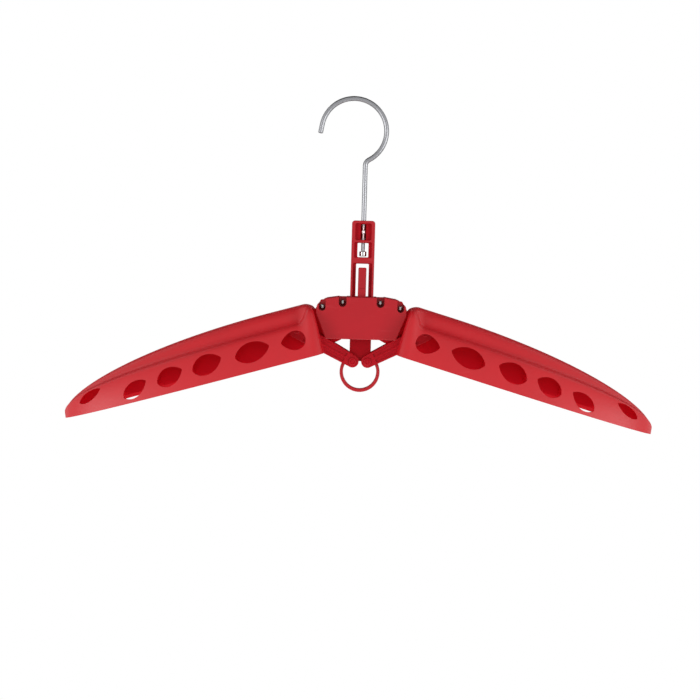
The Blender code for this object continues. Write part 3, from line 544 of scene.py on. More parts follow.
outline = rounded((
    (-stem_half, foot_bottom, 0.8 * mm), (stem_half, foot_bottom, 0.8 * mm),
    (stem_half, stem_high.z, 2.8 * mm), (-stem_half, stem_high.z, 2.8 * mm),
))
stem = plate(outline, -stem_front, stem_front, edge=0.6 * mm)
web_side, web_top, web_corner = 9.6 * mm, foot_bottom + 2 * mm, 2.8 * mm
web = plate(rounded((
    (-web_side, link_height, web_corner), (web_side, link_height, web_corner),
    (web_side, web_top, 0), (-web_side, web_top, 0),
)), -web_half, web_half, edge=0.4 * mm)
bosses = [rod(boss, -web_half, web_half, side * pin_spread, link_height, edge=0.4 * mm) for side in (-1, 1)]
ring_outer, ring_inner, ring_half, ring_edge = 18.1 * mm, 15.1 * mm, 3.35 * mm, 0.7 * mm
profile = arc(ring_outer - ring_edge, ring_half - ring_edge, ring_edge, pi / 2, 0, 4)
profile += arc(ring_outer - ring_edge, ring_edge - ring_half, ring_edge, 0, -pi / 2, 4)
profile += arc(ring_inner + ring_edge, ring_edge - ring_half, ring_edge, -pi / 2, -pi, 4)
profile += arc(ring_inner + ring_edge, ring_half - ring_edge, ring_edge, pi, pi / 2, 4)
ring = moved(turned(profile, "Y", 120), Matrix.Translation((0, 0, ring_height)))
join(stem, web, *bosses, ring)
print("stem joined,", len(stem.data.polygons), "faces")

# %% [markdown]
# ### The stem's windows and the hook's seat
# The windows go right through. The head's slot stops behind the wire, so the necks, painted pale as a highlight,
# stand bright against dark plastic. A gap across the middle lets the wings' flat knuckles pass when the stem slides.
# %% Windows, sunk faces and the hook's seat
upper_low, upper_half = head_bottom - 13 * mm, 4.95 * mm
lower_high, lower_half = upper_low - 5.9 * mm, 5.75 * mm
sunk, margin = 2.0 * mm, 2.9 * mm
windows = ((upper_half, upper_low, head_bottom), (lower_half, foot_top, lower_high))
for half, low, high in windows:
    sides = [plate(rectangle(half, low, high, 0.8 * mm), -10 * mm, 10 * mm)]
    for face in (-1, 1):
        wide = rectangle(half + margin, low - 0.6 * mm, high + 0.6 * mm, 1.2 * mm)
        sides.append(plate(wide, face * (stem_front - sunk), face * 10 * mm))
    cut(stem, *sides)
head_panel = rectangle(7.4 * mm, head_bottom + 2.2 * mm, stem_high.z - 2.4 * mm, 1.6 * mm)
panel_face = stem_front - 3.1 * mm
cut(stem, *[plate(head_panel, face * panel_face, face * 10 * mm) for face in (-1, 1)])
slot_half, slot_high, slot_back = 2.5 * mm, stem_high.z - 3.1 * mm, 3 * mm
cuts = [post(wire + seat_gap, head_bottom - over, stem_high.z + over)]
cuts.append(plate(rectangle(slot_half, slot_high - 14.2 * mm, slot_high, 0.8 * mm), -10 * mm, slot_back))
rail_half = web_half + 0.4 * mm
cuts.append(block((-20 * mm, -rail_half, foot_top + seat_gap), (20 * mm, rail_half, lower_high - 3.6 * mm)))
cuts += [rod(pin_radius + seat_gap, -10 * mm, 10 * mm, side * pin_spread, link_height) for side in (-1, 1)]
cut(stem, *cuts)
soften(stem, 0.35 * mm, lambda p: abs(abs(p.y) - stem_front) < mm / 50 and p.z > foot_bottom)
finish_piece(stem, "stem_and_ring", "stem", "stem", "stem")


def is_sunk(p, normal):
    inside = abs(p.x) < stem_half - mm / 10 and abs(p.y) < stem_front - 0.7 * mm
    return inside and link_height - 2 * mm < p.z < stem_high.z - mm / 10


# These faces' low sheen is painted shade for the recesses and for the web in the housing's shadow.
second_finish(stem, "stem_recess_shade", is_sunk)

# %% [markdown]
# ## The housing shells
# Two mirrored mouldings meet on the middle plane and four screws clamp them. Inside they leave room for the
# sliding stem, for the wings' flat knuckles and for the links. The screws sit at the foot of U-shaped pockets
# that are open at the top, because the mould's steel has to be drawn upwards out of them. Both shells use the
# same outline and cuts. Only the front one has the notch for the thumb and the seat of the tongue.
# %% The outline and the places of the screws
hinge_height, hinge_spread = -187.2 * mm, 35 * mm
house_top, house_bottom, house_front = -177.4 * mm, -214.9 * mm, 21 * mm
right_side = (
    (31.2 * mm, house_bottom, 1.4 * mm), (40.6 * mm, house_top - 15 * mm, 4.2 * mm),
    (39.6 * mm, house_top - 7.1 * mm, 4.2 * mm), (33 * mm, house_top - 2 * mm, 4.2 * mm),
    (20.5 * mm, house_top, 4.2 * mm),
)
house_outline = rounded(right_side + tuple((-x, z, r) for x, z, r in reversed(right_side)))
screw_places = [(x * mm, z * mm, width * mm) for x, z, width in
                ((-35, -187.2, 6.2), (-16.9, -182.8, 7), (16.9, -182.8, 7), (35, -187.2, 6.2))]


def pocket(x, z, width, y_from, y_to):
    outline = arc(x, z, width / 2, pi, tau, 24)
    return plate(outline + [(x + width / 2, house_top + over), (x - width / 2, house_top + over)], y_from, y_to)


# %% [markdown]
# ### The room for the knuckles
# The knuckle's sector plate swings inwards when the wing folds. Its slot is open below, and the slot's roof
# follows the leading edge that the folded sector has. Drawing it from the hinge's own angles keeps it right.
# %% The slot that each wing's knuckle turns in
wing_slope, fold, lead, trail = radians(16.1), radians(44), radians(130), radians(85)
hub, sector, knuckle_lean, turn_gap = 6.5 * mm, 34 * mm, radians(30), 0.5 * mm


def wing_slot(side):
    """Its roof follows the leading edge of the folded wing's sector."""
    folded, room = -lead - fold, hub + turn_gap
    near_x = hinge_spread + hub * cos(folded - knuckle_lean)
    near_z = hinge_height + hub * sin(folded - knuckle_lean) + turn_gap
    far_x, far_z = hinge_spread + sector * cos(folded), hinge_height + sector * sin(folded) + turn_gap
    hub_edge, outer, floor = hinge_spread - room, 46 * mm, house_bottom - over
    roof = near_z + (hub_edge - near_x) * (near_z - far_z) / (near_x - far_x)
    points = ((far_x, far_z), (hub_edge, roof), (hub_edge, hinge_height + room),
              (outer, hinge_height + room), (outer, floor), (far_x, floor))
    return plate([(side * x, z) for x, z in points], -web_half - 0.4 * mm, web_half + 0.4 * mm)


# %% [markdown]
# ### Both shells
# One loop makes them: the same plate, the same pockets and the same inner room, on either side of the seam. The
# front one then gets its notch and the tongue's seat, and both get rounded outer edges.
# %% Mould both shells
channel_x, channel_y = stem_half + 0.4 * mm, stem_front + 0.4 * mm
link_room = web_half + turn_gap + 3 * mm + turn_gap
foot_low, foot_high, tongue_thick = -186 * mm, -182.6 * mm, 2.4 * mm
for name, face in (("housing_front", -1), ("housing_back", 1)):
    shell = plate(house_outline, face * seat_gap / 2, face * house_front, edge=0.7 * mm)
    cuts = [block((-channel_x, -channel_y, house_bottom - over), (channel_x, channel_y, house_top + over))]
    cuts += [wing_slot(side) for side in (-1, 1)]
    for low, high in ((-46 * mm, -20 * mm), (20 * mm, 46 * mm)):
        cuts.append(block((low, -link_room, house_bottom - over), (high, link_room, house_bottom + 7 * mm)))
    for x, z, width in screw_places:
        cuts.append(pocket(x, z, width, face * 6 * mm, face * 26 * mm))
        cuts.append(rod(1.8 * mm, -42 * mm, 42 * mm, x, z))
    if face < 0:
        half, depth = 4.8 * mm, channel_y + 5.6 * mm
        cuts.append(block((-half, half - depth, foot_high), (half, 0, house_top + over)))
        cuts.append(moved(post(half, foot_high, house_top + over), Matrix.Translation((0, half - depth, 0))))
        back = -channel_y - tongue_thick - seat_gap
        cuts.append(block((-6.3 * mm, back, foot_low - seat_gap), (6.3 * mm, 0, foot_high + seat_gap)))
    cut(shell, *cuts)
    soften(shell, 0.45 * mm, lambda p: abs(abs(p.y) - house_front) < mm / 50)
    finish_piece(shell, name + "_shell", "housing", "housing", name)

# %% [markdown]
# ## Screws and nuts
# Four machine screws clamp the shells, and the outer two are also the wings' hinge pins. They are turned: the
# section of head and shank is spun round, and a cross recess is cut in the head. The nuts are hexagonal rods
# with a bore, their corners turned off by a cone as on real nuts.
# %% Turn a screw and press a nut
screw_radius, head, head_height, recess = 1.5 * mm, 2.4 * mm, 2 * mm, 1 * mm
seat, length = 6 * mm, 16.5 * mm
dome_drop = 1.1 * mm
dome = (head**2 + dome_drop**2) / (2 * dome_drop)
profile = arc(0, -dome, dome, pi / 2, pi / 2 - asin(head / dome), 9)
profile += [(head, -head_height), (screw_radius, -head_height)]
profile += [(screw_radius, 0.4 * mm - head_height - length), (1.1 * mm, -head_height - length),
            (0, -head_height - length)]
pattern = turned(profile, "Z", 48)
arms = [block((-1.1 * mm, -0.28 * mm, -recess), (1.1 * mm, 0.28 * mm, 1 * mm))]
arms.append(block((-0.28 * mm, -1.1 * mm, -recess), (0.28 * mm, 1.1 * mm, 1 * mm)))
cut(pattern, *arms)
nut_low, nut_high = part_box("nut_1")
nut_flat, nut_height = 2.4 * mm, nut_high.y - nut_low.y
nut = rod(nut_flat / cos(pi / 6), 0, nut_height, segments=6, turn=pi / 6)
cone = turned([(0, 0), (2.4 * mm, 0), (2.8 * mm, 0.3 * mm), (2.8 * mm, nut_height - 0.3 * mm),
               (2.4 * mm, nut_height), (0, nut_height)])
combine(nut, [moved(cone, Matrix.Rotation(-pi / 2, 4, "X"))], "INTERSECT")
cut(nut, rod(screw_radius + 0.1 * mm, -over, over))
for number, (x, z, _) in enumerate(screw_places, 1):
    low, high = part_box(f"screw_{number}")
    drive = Matrix.Rotation(radians(20 + 25 * number), 4, "Z")
    place = Matrix.Translation((x, low.y, z)) @ Matrix.Rotation(pi / 2, 4, "X") @ drive
    finish_piece(moved(copy_of(pattern), place), f"screw_{number}_turned", "housing", "fastener", f"screw_{number}")
    place = Matrix.Translation((x, nut_low.y, z))
    finish_piece(moved(copy_of(nut), place), f"nut_{number}_pressed", "housing", "fastener", f"nut_{number}")
for helper in (pattern, nut):
    bpy.data.objects.remove(helper)

# %% [markdown]
# ## The latch tongue
# A springy tongue stands in the front shell and reaches up through the stem's window; pressing it with the thumb
# frees the stem. It is one flat moulding, thicker where the thumb presses, so a plate with rounded rims carries a
# second, raised plate.
# %% Mould the tongue
tongue_half, tongue_top, tongue_y = 3.65 * mm, -150.9 * mm, -8.6 * mm
thick, foot_half, foot_low, foot_high = 1.2 * mm, 6 * mm, -186 * mm, -182.6 * mm
outline = rounded((
    (-foot_half, foot_low, 0.6 * mm), (foot_half, foot_low, 0.6 * mm), (foot_half, foot_high, 0.6 * mm),
    (tongue_half, foot_high, 0.9 * mm), (tongue_half, tongue_top, 1.2 * mm), (-tongue_half, tongue_top, 1.2 * mm),
    (-tongue_half, foot_high, 0.9 * mm), (-foot_half, foot_high, 0.6 * mm),
))
tongue = plate(outline, tongue_y - thick, tongue_y + thick, edge=0.3 * mm)
pad_low, pad_rise = tongue_top - 18.8 * mm, 0.7 * mm
pad_outline = rectangle(tongue_half - 0.6 * mm, pad_low, tongue_top - 0.6 * mm, 0.8 * mm)
join(tongue, plate(pad_outline, tongue_y - thick - pad_rise, tongue_y, edge=0.3 * mm))
finish_piece(tongue, "latch_tongue_moulded", "latch", "tongue", "latch_tongue")

# %% [markdown]
# ## The wings
# Each wing is a hollow shoulder form: a humped crown with a flute along each side, a rounded shoulder and a side
# wall pierced by six leaf-shaped holes, open underneath. It is lofted through sections, because its width and
# height fall away along curves to the tip. The same loft, drawn in by the wall, hollows it out; ribs and a middle
# spine are left standing by cutting them from the hollow first. The left wing is the right one turned half round.
# %% The section that changes along the wing
wing_length, wing_half, wing_height, wall = 242 * mm, 45.4 * mm, 45 * mm, 2.2 * mm
hinge_to_end, hinge_above_foot = 8 * mm, 38.5 * mm
end_radius, end_blunt, end_width_share = 10 * mm, 0.6 * mm, 0.8
flute_start, flute_run = 1 * mm, 14 * mm
across_shares = (0.0, 0.16, 0.29, 0.38, 0.45, 0.52, 0.61, 0.68, 0.745)
fluted_drops = (0.0, 0.02, 0.10, 0.36, 0.74, 0.94, 1.0, 1.08, 1.32)
plain_drops = (0.0, 0.0, 0.01, 0.01, 0.02, 0.03, 0.12, 0.35, 0.80)


def wing_widths(along):
    """Half-width and height of the outside, tapering to the tip and rounded at the inner end."""
    width_taper = max(0, (along - 80 * mm) / (wing_length - 80 * mm))
    height_taper = max(0, (along - 40 * mm) / (wing_length - 40 * mm))
    half = wing_half * (1 - width_taper**2.5) ** (1 / 2.5)
    height = wing_height * (1 - height_taper**2) ** 0.5
    near_end = max(0, 1 - (along + end_blunt) / end_radius)
    rounding = end_radius * (1 - (1 - near_end**2) ** 0.5)
    return half - rounding * end_width_share, height - rounding


def smoothed(points, steps=4):
    """A cubic B-spline near points, with the first one mirrored across the middle plane."""
    ends = [Vector((-points[1].x, points[1].y))] + points + [points[-1] * 2 - points[-2]]
    curve = []
    for a, b, c, d in zip(ends, ends[1:], ends[2:], ends[3:]):
        for i in range(steps):
            t = i / steps
            weights = ((1 - t) ** 3, 3 * t**3 - 6 * t**2 + 4, 3 * t * (1 + t - t**2) + 1, t**3)
            curve.append(sum((p * w for p, w in zip((a, b, c, d), weights)), Vector((0, 0))) / 6)
    return curve + [points[-1]]


def wing_section(along, inset):
    """A closed (across, up) section: crown, flute, shoulder and side wall, drawn in by the inset."""
    half, height = wing_widths(max(0, along - inset))
    drop = 15.5 * mm * (height / wing_height) ** 2
    fade = min(1, max(0, (along - flute_start) / flute_run))
    fade = fade * fade * (3 - 2 * fade)
    points = [Vector((half * across, height - drop * (plain + (fluted - plain) * fade)))
              for across, fluted, plain in zip(across_shares, fluted_drops, plain_drops)]
    foot = Vector((half, 0))
    points += [(points[-1] + foot) / 2 + Vector((half * 0.0175, 0)), foot]
    if inset:
        inner = []
        for i, point in enumerate(points):
            behind = points[i - 1] if i else Vector((-points[1].x, points[1].y))
            ahead = points[i + 1] if i + 1 < len(points) else point * 2 - behind
            run = (ahead - behind).normalized()
            inner.append(point + Vector((run.y, -run.x)) * inset)
        inner[0].x = inner[-1].y = 0
        points = inner
    right = smoothed(points)
    if inset:
        right.append(Vector((half - inset, -over)))
    return [tuple(p) for p in right] + [(-p.x, p.y) for p in reversed(right[1:])]


print("section at 60 mm has", len(wing_section(60 * mm, 0)), "points")


# %% [markdown]
# ### The shell
# The mould closes the inner end with a wall on each side of the housing and leaves it open in the middle, where
# the housing turns in when the wing folds. The crown's inner edge is cut back along the side of the folded
# housing, plus a little room, so that the two never touch. Lofting outside and hollow from one section keeps the
# wall even everywhere, which a solidify modifier can't do at the tip and round the flutes.
# %% Loft the outside and the hollow
def wing_loft(stations, inset):
    bm = bmesh.new()
    rings = []
    for along in stations:
        points = [bm.verts.new((along + hinge_to_end, across, up - hinge_above_foot))
                  for across, up in wing_section(along, inset)]
        rings.append([bm.edges.new((points[i - 1], points[i])) for i in range(len(points))])
    for first, second in zip(rings, rings[1:]):
        bmesh.ops.bridge_loops(bm, edges=first + second)
    for end in (rings[0], rings[-1]):
        bmesh.ops.contextual_create(bm, geom=end)
    bmesh.ops.triangulate(bm, faces=[f for f in bm.faces if len(f.verts) > 4])
    return loose(bm)


def wing_block(along_from, along_to, half_across, up_from, up_to):
    return block((along_from + hinge_to_end, -half_across, up_from - hinge_above_foot),
                 (along_to + hinge_to_end, half_across, up_to - hinge_above_foot))


end_stations = [end_radius * share for share in (0, 0.1, 0.2, 0.3, 0.45, 0.6, 0.8, 1, 1.25, 1.5)]
far = [0.07 + 0.03 * i for i in range(21)] + [0.69 + 0.02 * i for i in range(12)]
far += [0.925, 0.94, 0.953, 0.965, 0.975, 0.983, 0.99]
stations = end_stations + [share * wing_length for share in far]
hollow = wing_loft([-over] + stations[1:-4], wall)
rib_shares, rib_half = (0.170, 0.328, 0.492, 0.630, 0.768), 0.8 * mm
ribs = [wing_block(share * wing_length - rib_half, share * wing_length + rib_half, 60 * mm, 8 * mm, 60 * mm)
        for share in rib_shares]
spine_from, spine_half = 33 * mm, 1.3 * mm
ear_from = 22.5 * mm
ears = []
for low, high in ((-60 * mm, -ear_from), (ear_from, 60 * mm)):
    ears.append(block((-20 * mm, low, -60 * mm), (hinge_to_end + wall, high, 60 * mm)))
cut(hollow, *ribs, *ears, wing_block(spine_from, wing_length, spine_half, 5.5 * mm, 60 * mm))
wing = wing_loft(stations, 0)
fold_room, folded_slope = 0.6 * mm, wing_slope + fold + radians(0.2)
house_side = []
for x, z, _ in reversed(right_side[:3]):
    x, z = x - hinge_spread, z - hinge_height
    house_side.append((x * cos(folded_slope) - z * sin(folded_slope) + fold_room,
                       x * sin(folded_slope) + z * cos(folded_slope)))
house_side += [(-20 * mm, -30 * mm), (-20 * mm, house_side[0][1])]
cut(wing, hollow, plate(house_side, -ear_from, ear_from))
print("hollowed wing:", len(wing.data.polygons), "faces from", len(stations), "stations")

# %% [markdown]
# ### The holes and the ovals
# The leaf holes let the wetsuit's shoulders dry. They tilt more towards the tip, and their ends are drawn to a
# point by powers of the sine and cosine, so one formula gives all six. Three oval lines are sunk into the crown:
# an oval cutter with a smaller oval taken out of it leaves the middle standing.
# %% Leaf holes and oval grooves
# along, up, half-length and half-height in mm, tilt in degrees, and how pointed the outer and inner ends are
holes = (
    (23.0, 17.0, 11.0, 8.2, 2, 0.5, 0.0), (60.2, 16.6, 15.8, 8.6, -6, 0.35, 0.5),
    (101.2, 16.0, 13.6, 8.6, -11, 0.3, 0.55), (135.2, 14.0, 12.2, 7.9, -16, 0.3, 0.6),
    (167.8, 10.8, 12.0, 6.6, -24, 0.3, 0.6), (210.1, 14.2, 11.5, 4.0, -21, 0.3, 0.6),
)


def leaf(along, up, half_length, half_height, tilt, outer_point, inner_point, steps=64):
    """A leaf: an ellipse whose ends are drawn in to a point, as much as each end asks for."""
    across = [sin(tau * i / steps) * sin(pi * i / steps) ** outer_point * abs(cos(pi * i / steps)) ** inner_point
              for i in range(steps)]
    widest = max(across)
    outline = []
    for i, share in enumerate(across):
        x, z = half_length * cos(tau * i / steps), half_height * share / widest
        outline.append((along + x * cos(tilt) - z * sin(tilt), up + x * sin(tilt) + z * cos(tilt)))
    return outline


cuts = []
for along, up, length, height, tilt, outer_point, inner_point in holes:
    near = wing_widths(along * mm)[0] * 0.6
    outline = leaf(along * mm + hinge_to_end, up * mm - hinge_above_foot, length * mm, height * mm,
                   radians(tilt), outer_point, inner_point)
    cuts += [plate(outline, side * near, side * 52 * mm) for side in (-1, 1)]
oval_depth, oval_line = 0.9 * mm, 1.1 * mm
for along, length, width in ((67, 33, 12.2), (126, 29, 12.2), (175, 22, 11.3)):
    along, length, width = along * mm, length * mm, width * mm
    height = wing_widths(along)[1]
    slope = (wing_widths(along + mm)[1] - wing_widths(along - mm)[1]) / (2 * mm)
    oval, island = post(0.5, -oval_depth / over, 1, 72), post(0.5, -1, 2, 72)
    oval.data.transform(Matrix.Diagonal((length, width, over, 1)))
    island.data.transform(Matrix.Diagonal((length - 2 * oval_line, width - 2 * oval_line, over, 1)))
    cut(oval, island)
    where = Matrix.Translation((along + hinge_to_end, 0, height - hinge_above_foot))
    cuts.append(moved(oval, where @ Matrix.Rotation(-atan2(slope, 1), 4, "Y")))
cut(wing, *cuts)
print("pierced wing:", len(wing.data.polygons), "faces")

# %% [markdown]
# ### The knuckle
# A flat web in the wing's middle plane carries the hinge eye, the sector plate that turns in the housing's slot,
# and the upright slot for the link's pin. It is drawn as one outline round the hinge and joined to the shell.
# %% The web, the pin's slot and the tip notch
link_length, link_slope = 58 * mm, radians(28)
pin_x = pin_spread + link_length * cos(link_slope)
pin_z = link_height + link_length * sin(link_slope)
pin_along = (pin_x - hinge_spread) * cos(wing_slope) - (pin_z - hinge_height) * sin(wing_slope)
pin_up = (pin_x - hinge_spread) * sin(wing_slope) + (pin_z - hinge_height) * cos(wing_slope)
lead_angle, trail_angle = wing_slope + tau - lead, wing_slope - trail
top, low, knuckle_end = wing_height - wall / 2 - hinge_above_foot, 6 * mm - hinge_above_foot, 46 * mm
outline = arc(0, 0, hub, pi / 2, lead_angle - knuckle_lean, 20)
outline += arc(0, 0, sector, lead_angle, trail_angle + tau, 28)
outline += [(pin_along, low), (knuckle_end, low), (knuckle_end, top)]
for along in (9, 6, 4, 2.5, 1.2, 0.5, 0):
    under_crown = wing_widths(along * mm)[1] - wall / 2 - hinge_above_foot
    outline.append((hinge_to_end + along * mm, under_crown))
join(wing, plate(outline, -web_half, web_half))
slot_radius, slot_up, slot_down = pin_radius + 1.25 * mm, 2.5 * mm, 1 * mm
lower = (pin_along + slot_down * sin(wing_slope), pin_up - slot_down * cos(wing_slope))
upper = (pin_along - slot_up * sin(wing_slope), pin_up + slot_up * cos(wing_slope))
outline = arc(*lower, slot_radius, wing_slope - pi, wing_slope, 20)
outline += arc(*upper, slot_radius, wing_slope, wing_slope + pi, 20)
cuts = [plate(outline, -14 * mm, 14 * mm), rod(screw_radius + seat_gap, -14 * mm, 14 * mm)]
cuts.append(wing_block(26.4 * mm, 34.6 * mm, 2.45 * mm, wing_height - 4 * mm, 60 * mm))
notch, notch_depth = 9 * mm, 2.6 * mm
cuts.append(post(notch, -wing_height, wing_height, 72, x=stations[-1] + hinge_to_end + notch - notch_depth))
cut(wing, *cuts)
print("whole wing:", len(wing.data.polygons), "faces")

# %% [markdown]
# ### Core side and hinges
# A face belongs to the outer skin if it looks away from the line along the middle of the foot, or if it closes
# either end. All other faces were made by the mould's core and take the low-sheen red, painted shade for the hollow.
# %% Sort the faces and hang both wings on their hinges
def is_core(centre, normal):
    along, across, up = centre - Vector((hinge_to_end, 0, -hinge_above_foot))
    away = Vector((0, across, up)).normalized()
    return not (normal.dot(away) > 0.25 and abs(across) > web_half + mm / 2
                or normal.z > 0.5 and up > wing_height / 2
                or normal.x < -0.5 and along < mm
                or normal.x > 0.3 and along > 0.85 * wing_length)


for name, side, turn in (("wing_right", 1, 0), ("wing_left", -1, pi)):
    place = Matrix.Translation((side * hinge_spread, 0, hinge_height)) @ Matrix.Rotation(turn, 4, "Z")
    place = place @ Matrix.Rotation(wing_slope, 4, "Y")
    hung = finish_piece(moved(copy_of(wing), place), name + "_moulded", name, "wing", name, sharp=radians(55))
    back = place.inverted()
    second_finish(hung, "wing_hollow_shade", lambda p, normal: is_core(back @ p, back.to_3x3() @ normal))
bpy.data.objects.remove(wing)

# %% [markdown]
# ## The links and their pins
# A forked link on each side joins the stem's foot to the wing. It is two plates round the web and the knuckle,
# tied by a short web, with sunk panels that leave three ridges standing on each face. Moulded pins with low
# domed heads go through its eyes.
# %% Mould a link
inner_eye, outer_eye, rim, panel = 5.6 * mm, 7.5 * mm, 1.7 * mm, 1.1 * mm
near = web_half + turn_gap
far_face = near + 3 * mm
lean = pi / 2 + asin((outer_eye - inner_eye) / link_length)
outline = arc(0, 0, inner_eye, lean, tau - lean, 28) + arc(link_length, 0, outer_eye, -lean, lean, 32)
link = plate(outline, near, far_face, edge=0.4 * mm)
tie = block((14 * mm, -near - 1.5 * mm, -5.2 * mm), (27 * mm, near + 1.5 * mm, 0))
join(link, tie)
join(link, plate(outline, -far_face, -near, edge=0.4 * mm))
start, end = inner_eye + rim, link_length - outer_eye - rim
spread = (outer_eye - inner_eye) / link_length
cuts = []
for side in (-1, 1):
    low, near_high, far_high = rim / 2, inner_eye + spread * start - rim, inner_eye + spread * end - rim
    corners = [(start, low), (end, low), (end, far_high), (start, near_high)]
    corners = [(x, side * z, 0.7 * mm) for x, z in (corners if side > 0 else corners[::-1])]
    cuts += [plate(rounded(corners, 4), face * (far_face - panel), face * 14 * mm) for face in (-1, 1)]
cuts += [rod(pin_radius + seat_gap, -14 * mm, 14 * mm, x) for x in (0, link_length)]
cut(link, *cuts)
soften(link, 0.3 * mm, lambda p: abs(abs(p.y) - far_face) < mm / 50, angle=radians(60))

# %% [markdown]
# ### The pins
# A pin is one turned profile with a low domed head at both ends. Both links and all four pins are copies.
# %% Turn the pins and hang both links
top = far_face + seat_gap + 0.9 * mm
head, rise = 3.5 * mm, 0.9 * mm
profile = [(0, top), (1.5 * mm, top), (1.75 * mm, top - 0.25 * mm), (2 * mm, top)]
profile += arc(head - 0.7 * mm, top - 0.7 * mm, 0.7 * mm, pi / 2, 0, 6)
profile += [(head, top - rise), (pin_radius, top - rise)]
pin = turned(profile + [(r, -z) for r, z in reversed(profile)], "Y", 56)
for side, turn in (("right", 0), ("left", pi)):
    sign = cos(turn)
    place = Matrix.Translation((sign * pin_spread, 0, link_height)) @ Matrix.Rotation(turn, 4, "Z")
    place = place @ Matrix.Rotation(-link_slope, 4, "Y")
    finish_piece(moved(copy_of(link), place), f"link_{side}_moulded", f"link_{side}", "link", f"link_{side}")
    for end_name, along in (("stem", 0), ("wing", link_length)):
        there = place @ Matrix.Translation((along, 0, 0))
        node = f"{end_name}_pin_{side}"
        finish_piece(moved(copy_of(pin), there), node + "_turned", f"link_{side}", "link", node)
for helper in (link, pin):
    bpy.data.objects.remove(helper)

# %% [markdown]
# ## The studio
# The photo is a plain catalogue picture on white. The world is white where the camera, metal and glass see it
# and gentler where it lights the object, so the plastic isn't washed out. Two dark cards that the camera never
# sees give the steel its darker edges. The floor is far below the hanger and takes its shadow. It glows a little
# for the camera only, so that it stays near white, and it is clear from below, so that it hides nothing there.
# %% World, floor and cards
world = bpy.data.worlds.new("studio")
world.use_nodes = True
bpy.context.scene.world = world
tree = world.node_tree
rays = add(tree, "ShaderNodeLightPath").outputs
mirrored = maths(tree, "MAXIMUM", rays["Is Glossy Ray"], rays["Is Transmission Ray"])
seen = maths(tree, "MAXIMUM", rays["Is Camera Ray"], mirrored)
world_light = 0.35
strength = maths(tree, "MULTIPLY_ADD", seen, 1 - world_light, world_light)
tree.nodes["Background"].inputs["Color"].default_value = (1, 1, 1, 1)
tree.links.new(strength, tree.nodes["Background"].inputs["Strength"])

floor_height = -0.9
bm = bmesh.new()
bmesh.ops.create_grid(bm, x_segments=1, y_segments=1, size=1.2)
bmesh.ops.translate(bm, verts=bm.verts, vec=(0, -0.6, floor_height))
floor = loose(bm, "floor")
floor.name = "floor"
paper = bpy.data.materials.new("floor_paper")
paper.use_nodes = True
tree = paper.node_tree
shader = tree.nodes["Principled BSDF"]
fleck = noise(tree, add(tree, "ShaderNodeTexCoord").outputs["Object"], 90)
tone = add(tree, "ShaderNodeMapRange", [(0, fleck), (3, 0.86), (4, 0.90)]).outputs[0]
tree.links.new(tone, shader.inputs["Base Color"])
shader.inputs["Emission Color"].default_value = (1, 1, 1, 1)
floor_glow = 0.30
to_camera = maths(tree, "MULTIPLY", add(tree, "ShaderNodeLightPath").outputs["Is Camera Ray"], floor_glow)
tree.links.new(to_camera, shader.inputs["Emission Strength"])
from_above = maths(tree, "SUBTRACT", 1, add(tree, "ShaderNodeNewGeometry").outputs["Backfacing"])
where = add(tree, "ShaderNodeTexCoord").outputs["Object"]
spread = add(tree, "ShaderNodeVectorMath", [(0, where), (1, (0, 0, floor_height))], operation="DISTANCE")
fading = add(tree, "ShaderNodeMapRange", [(0, spread.outputs["Value"]), (1, 0.25), (2, 0.60), (3, 1), (4, 0)])
tree.links.new(maths(tree, "MULTIPLY", from_above, fading.outputs[0]), shader.inputs["Alpha"])
tree.links.new(maths(tree, "MULTIPLY_ADD", fleck, 0.2, 0.6), shader.inputs["Roughness"])
floor.data.materials.append(paper)
floor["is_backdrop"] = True

card_paint = bpy.data.materials.new("card_paint")
card_paint.use_nodes = True
card_paint.node_tree.nodes["Principled BSDF"].inputs["Base Color"].default_value = (0.03, 0.03, 0.03, 1)
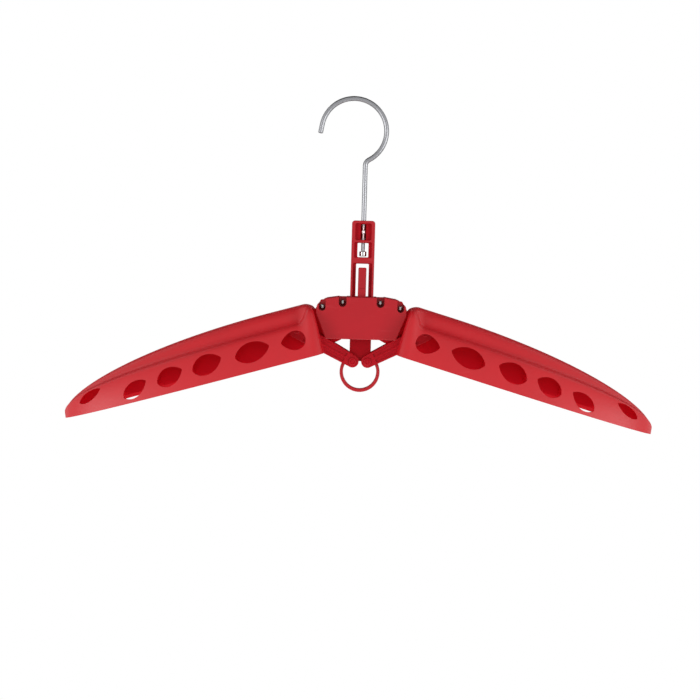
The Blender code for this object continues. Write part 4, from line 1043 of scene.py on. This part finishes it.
for name, size, where, turn in (("card_above", 0.6, (0, 0.1, 0.75), 0), ("card_behind", 1.6, (0, 1.4, 0.2), pi / 2)):
    bm = bmesh.new()
    bmesh.ops.create_grid(bm, x_segments=1, y_segments=1, size=size)
    bmesh.ops.rotate(bm, verts=bm.verts, cent=(0, 0, 0), matrix=Matrix.Rotation(turn, 3, "X"))
    bmesh.ops.translate(bm, verts=bm.verts, vec=where)
    card = loose(bm, name)
    card.name = name
    card.data.materials.append(card_paint)
    card.visible_camera = card.visible_diffuse = card.visible_shadow = card.visible_transmission = False
    card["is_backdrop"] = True


# %% [markdown]
# ## The lamps and the camera
# Two soft boxes low in front, left and right, light the side walls evenly. A weak one above keeps the crowns from
# turning milky, and one below brightens the ribs and the insides that show through the holes. One behind lights
# the back and the rims without a highlight. The camera stands close to the front, as the photo's does.
# %% Lamps and camera
def lamp(name, where, target, size, power, shines=True):
    data = bpy.data.lights.new(name, "AREA")
    data.shape = "RECTANGLE"
    data.size, data.size_y = size
    data.energy = power
    obj = bpy.data.objects.new(name, data)
    obj.location = where
    obj.visible_camera, obj.visible_glossy = False, shines
    obj.rotation_euler = (Vector(target) - Vector(where)).to_track_quat("-Z", "Y").to_euler()
    bpy.context.scene.collection.objects.link(obj)


middle = (0.01, 0, -0.18)
lamp("left_box", (-1.1, -0.9, -0.15), (-0.12, 0, -0.2), (0.8, 0.8), 9.2)
lamp("right_box", (1.12, -0.9, -0.15), (0.14, 0, -0.2), (0.8, 0.8), 9.2)
lamp("top_box", (0, -0.5, 0.9), middle, (1.0, 0.5), 0.6)
lamp("low_box", (0, -0.15, -0.8), middle, (1.2, 0.5), 2.5)
lamp("back_box", (0, 1.2, 0.1), middle, (1.4, 0.8), 8, shines=False)

camera = bpy.data.cameras.new("camera")
camera.lens, camera.sensor_width = 56.7, 36
camera.shift_x, camera.shift_y = -0.01, -0.121
camera_object = bpy.data.objects.new("camera", camera)
camera_object.location = (0.006, -1.0, -0.149)
camera_object.rotation_euler = (pi / 2, -radians(1.6), 0)
bpy.context.scene.collection.objects.link(camera_object)
bpy.context.scene.camera = camera_object
bpy.context.scene.view_settings.view_transform = "Standard"

# %% [markdown]
# ## The size of the whole hanger
# The finer hanger must fill the same box as the machine drawing. Its box is printed in millimetres here; each piece's
# size was printed beside its CAD node's as it was finished.
# %% Print the box
low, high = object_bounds()
print("visual box in mm:", [round(side / mm, 1) for side in Vector(high) - Vector(low)])
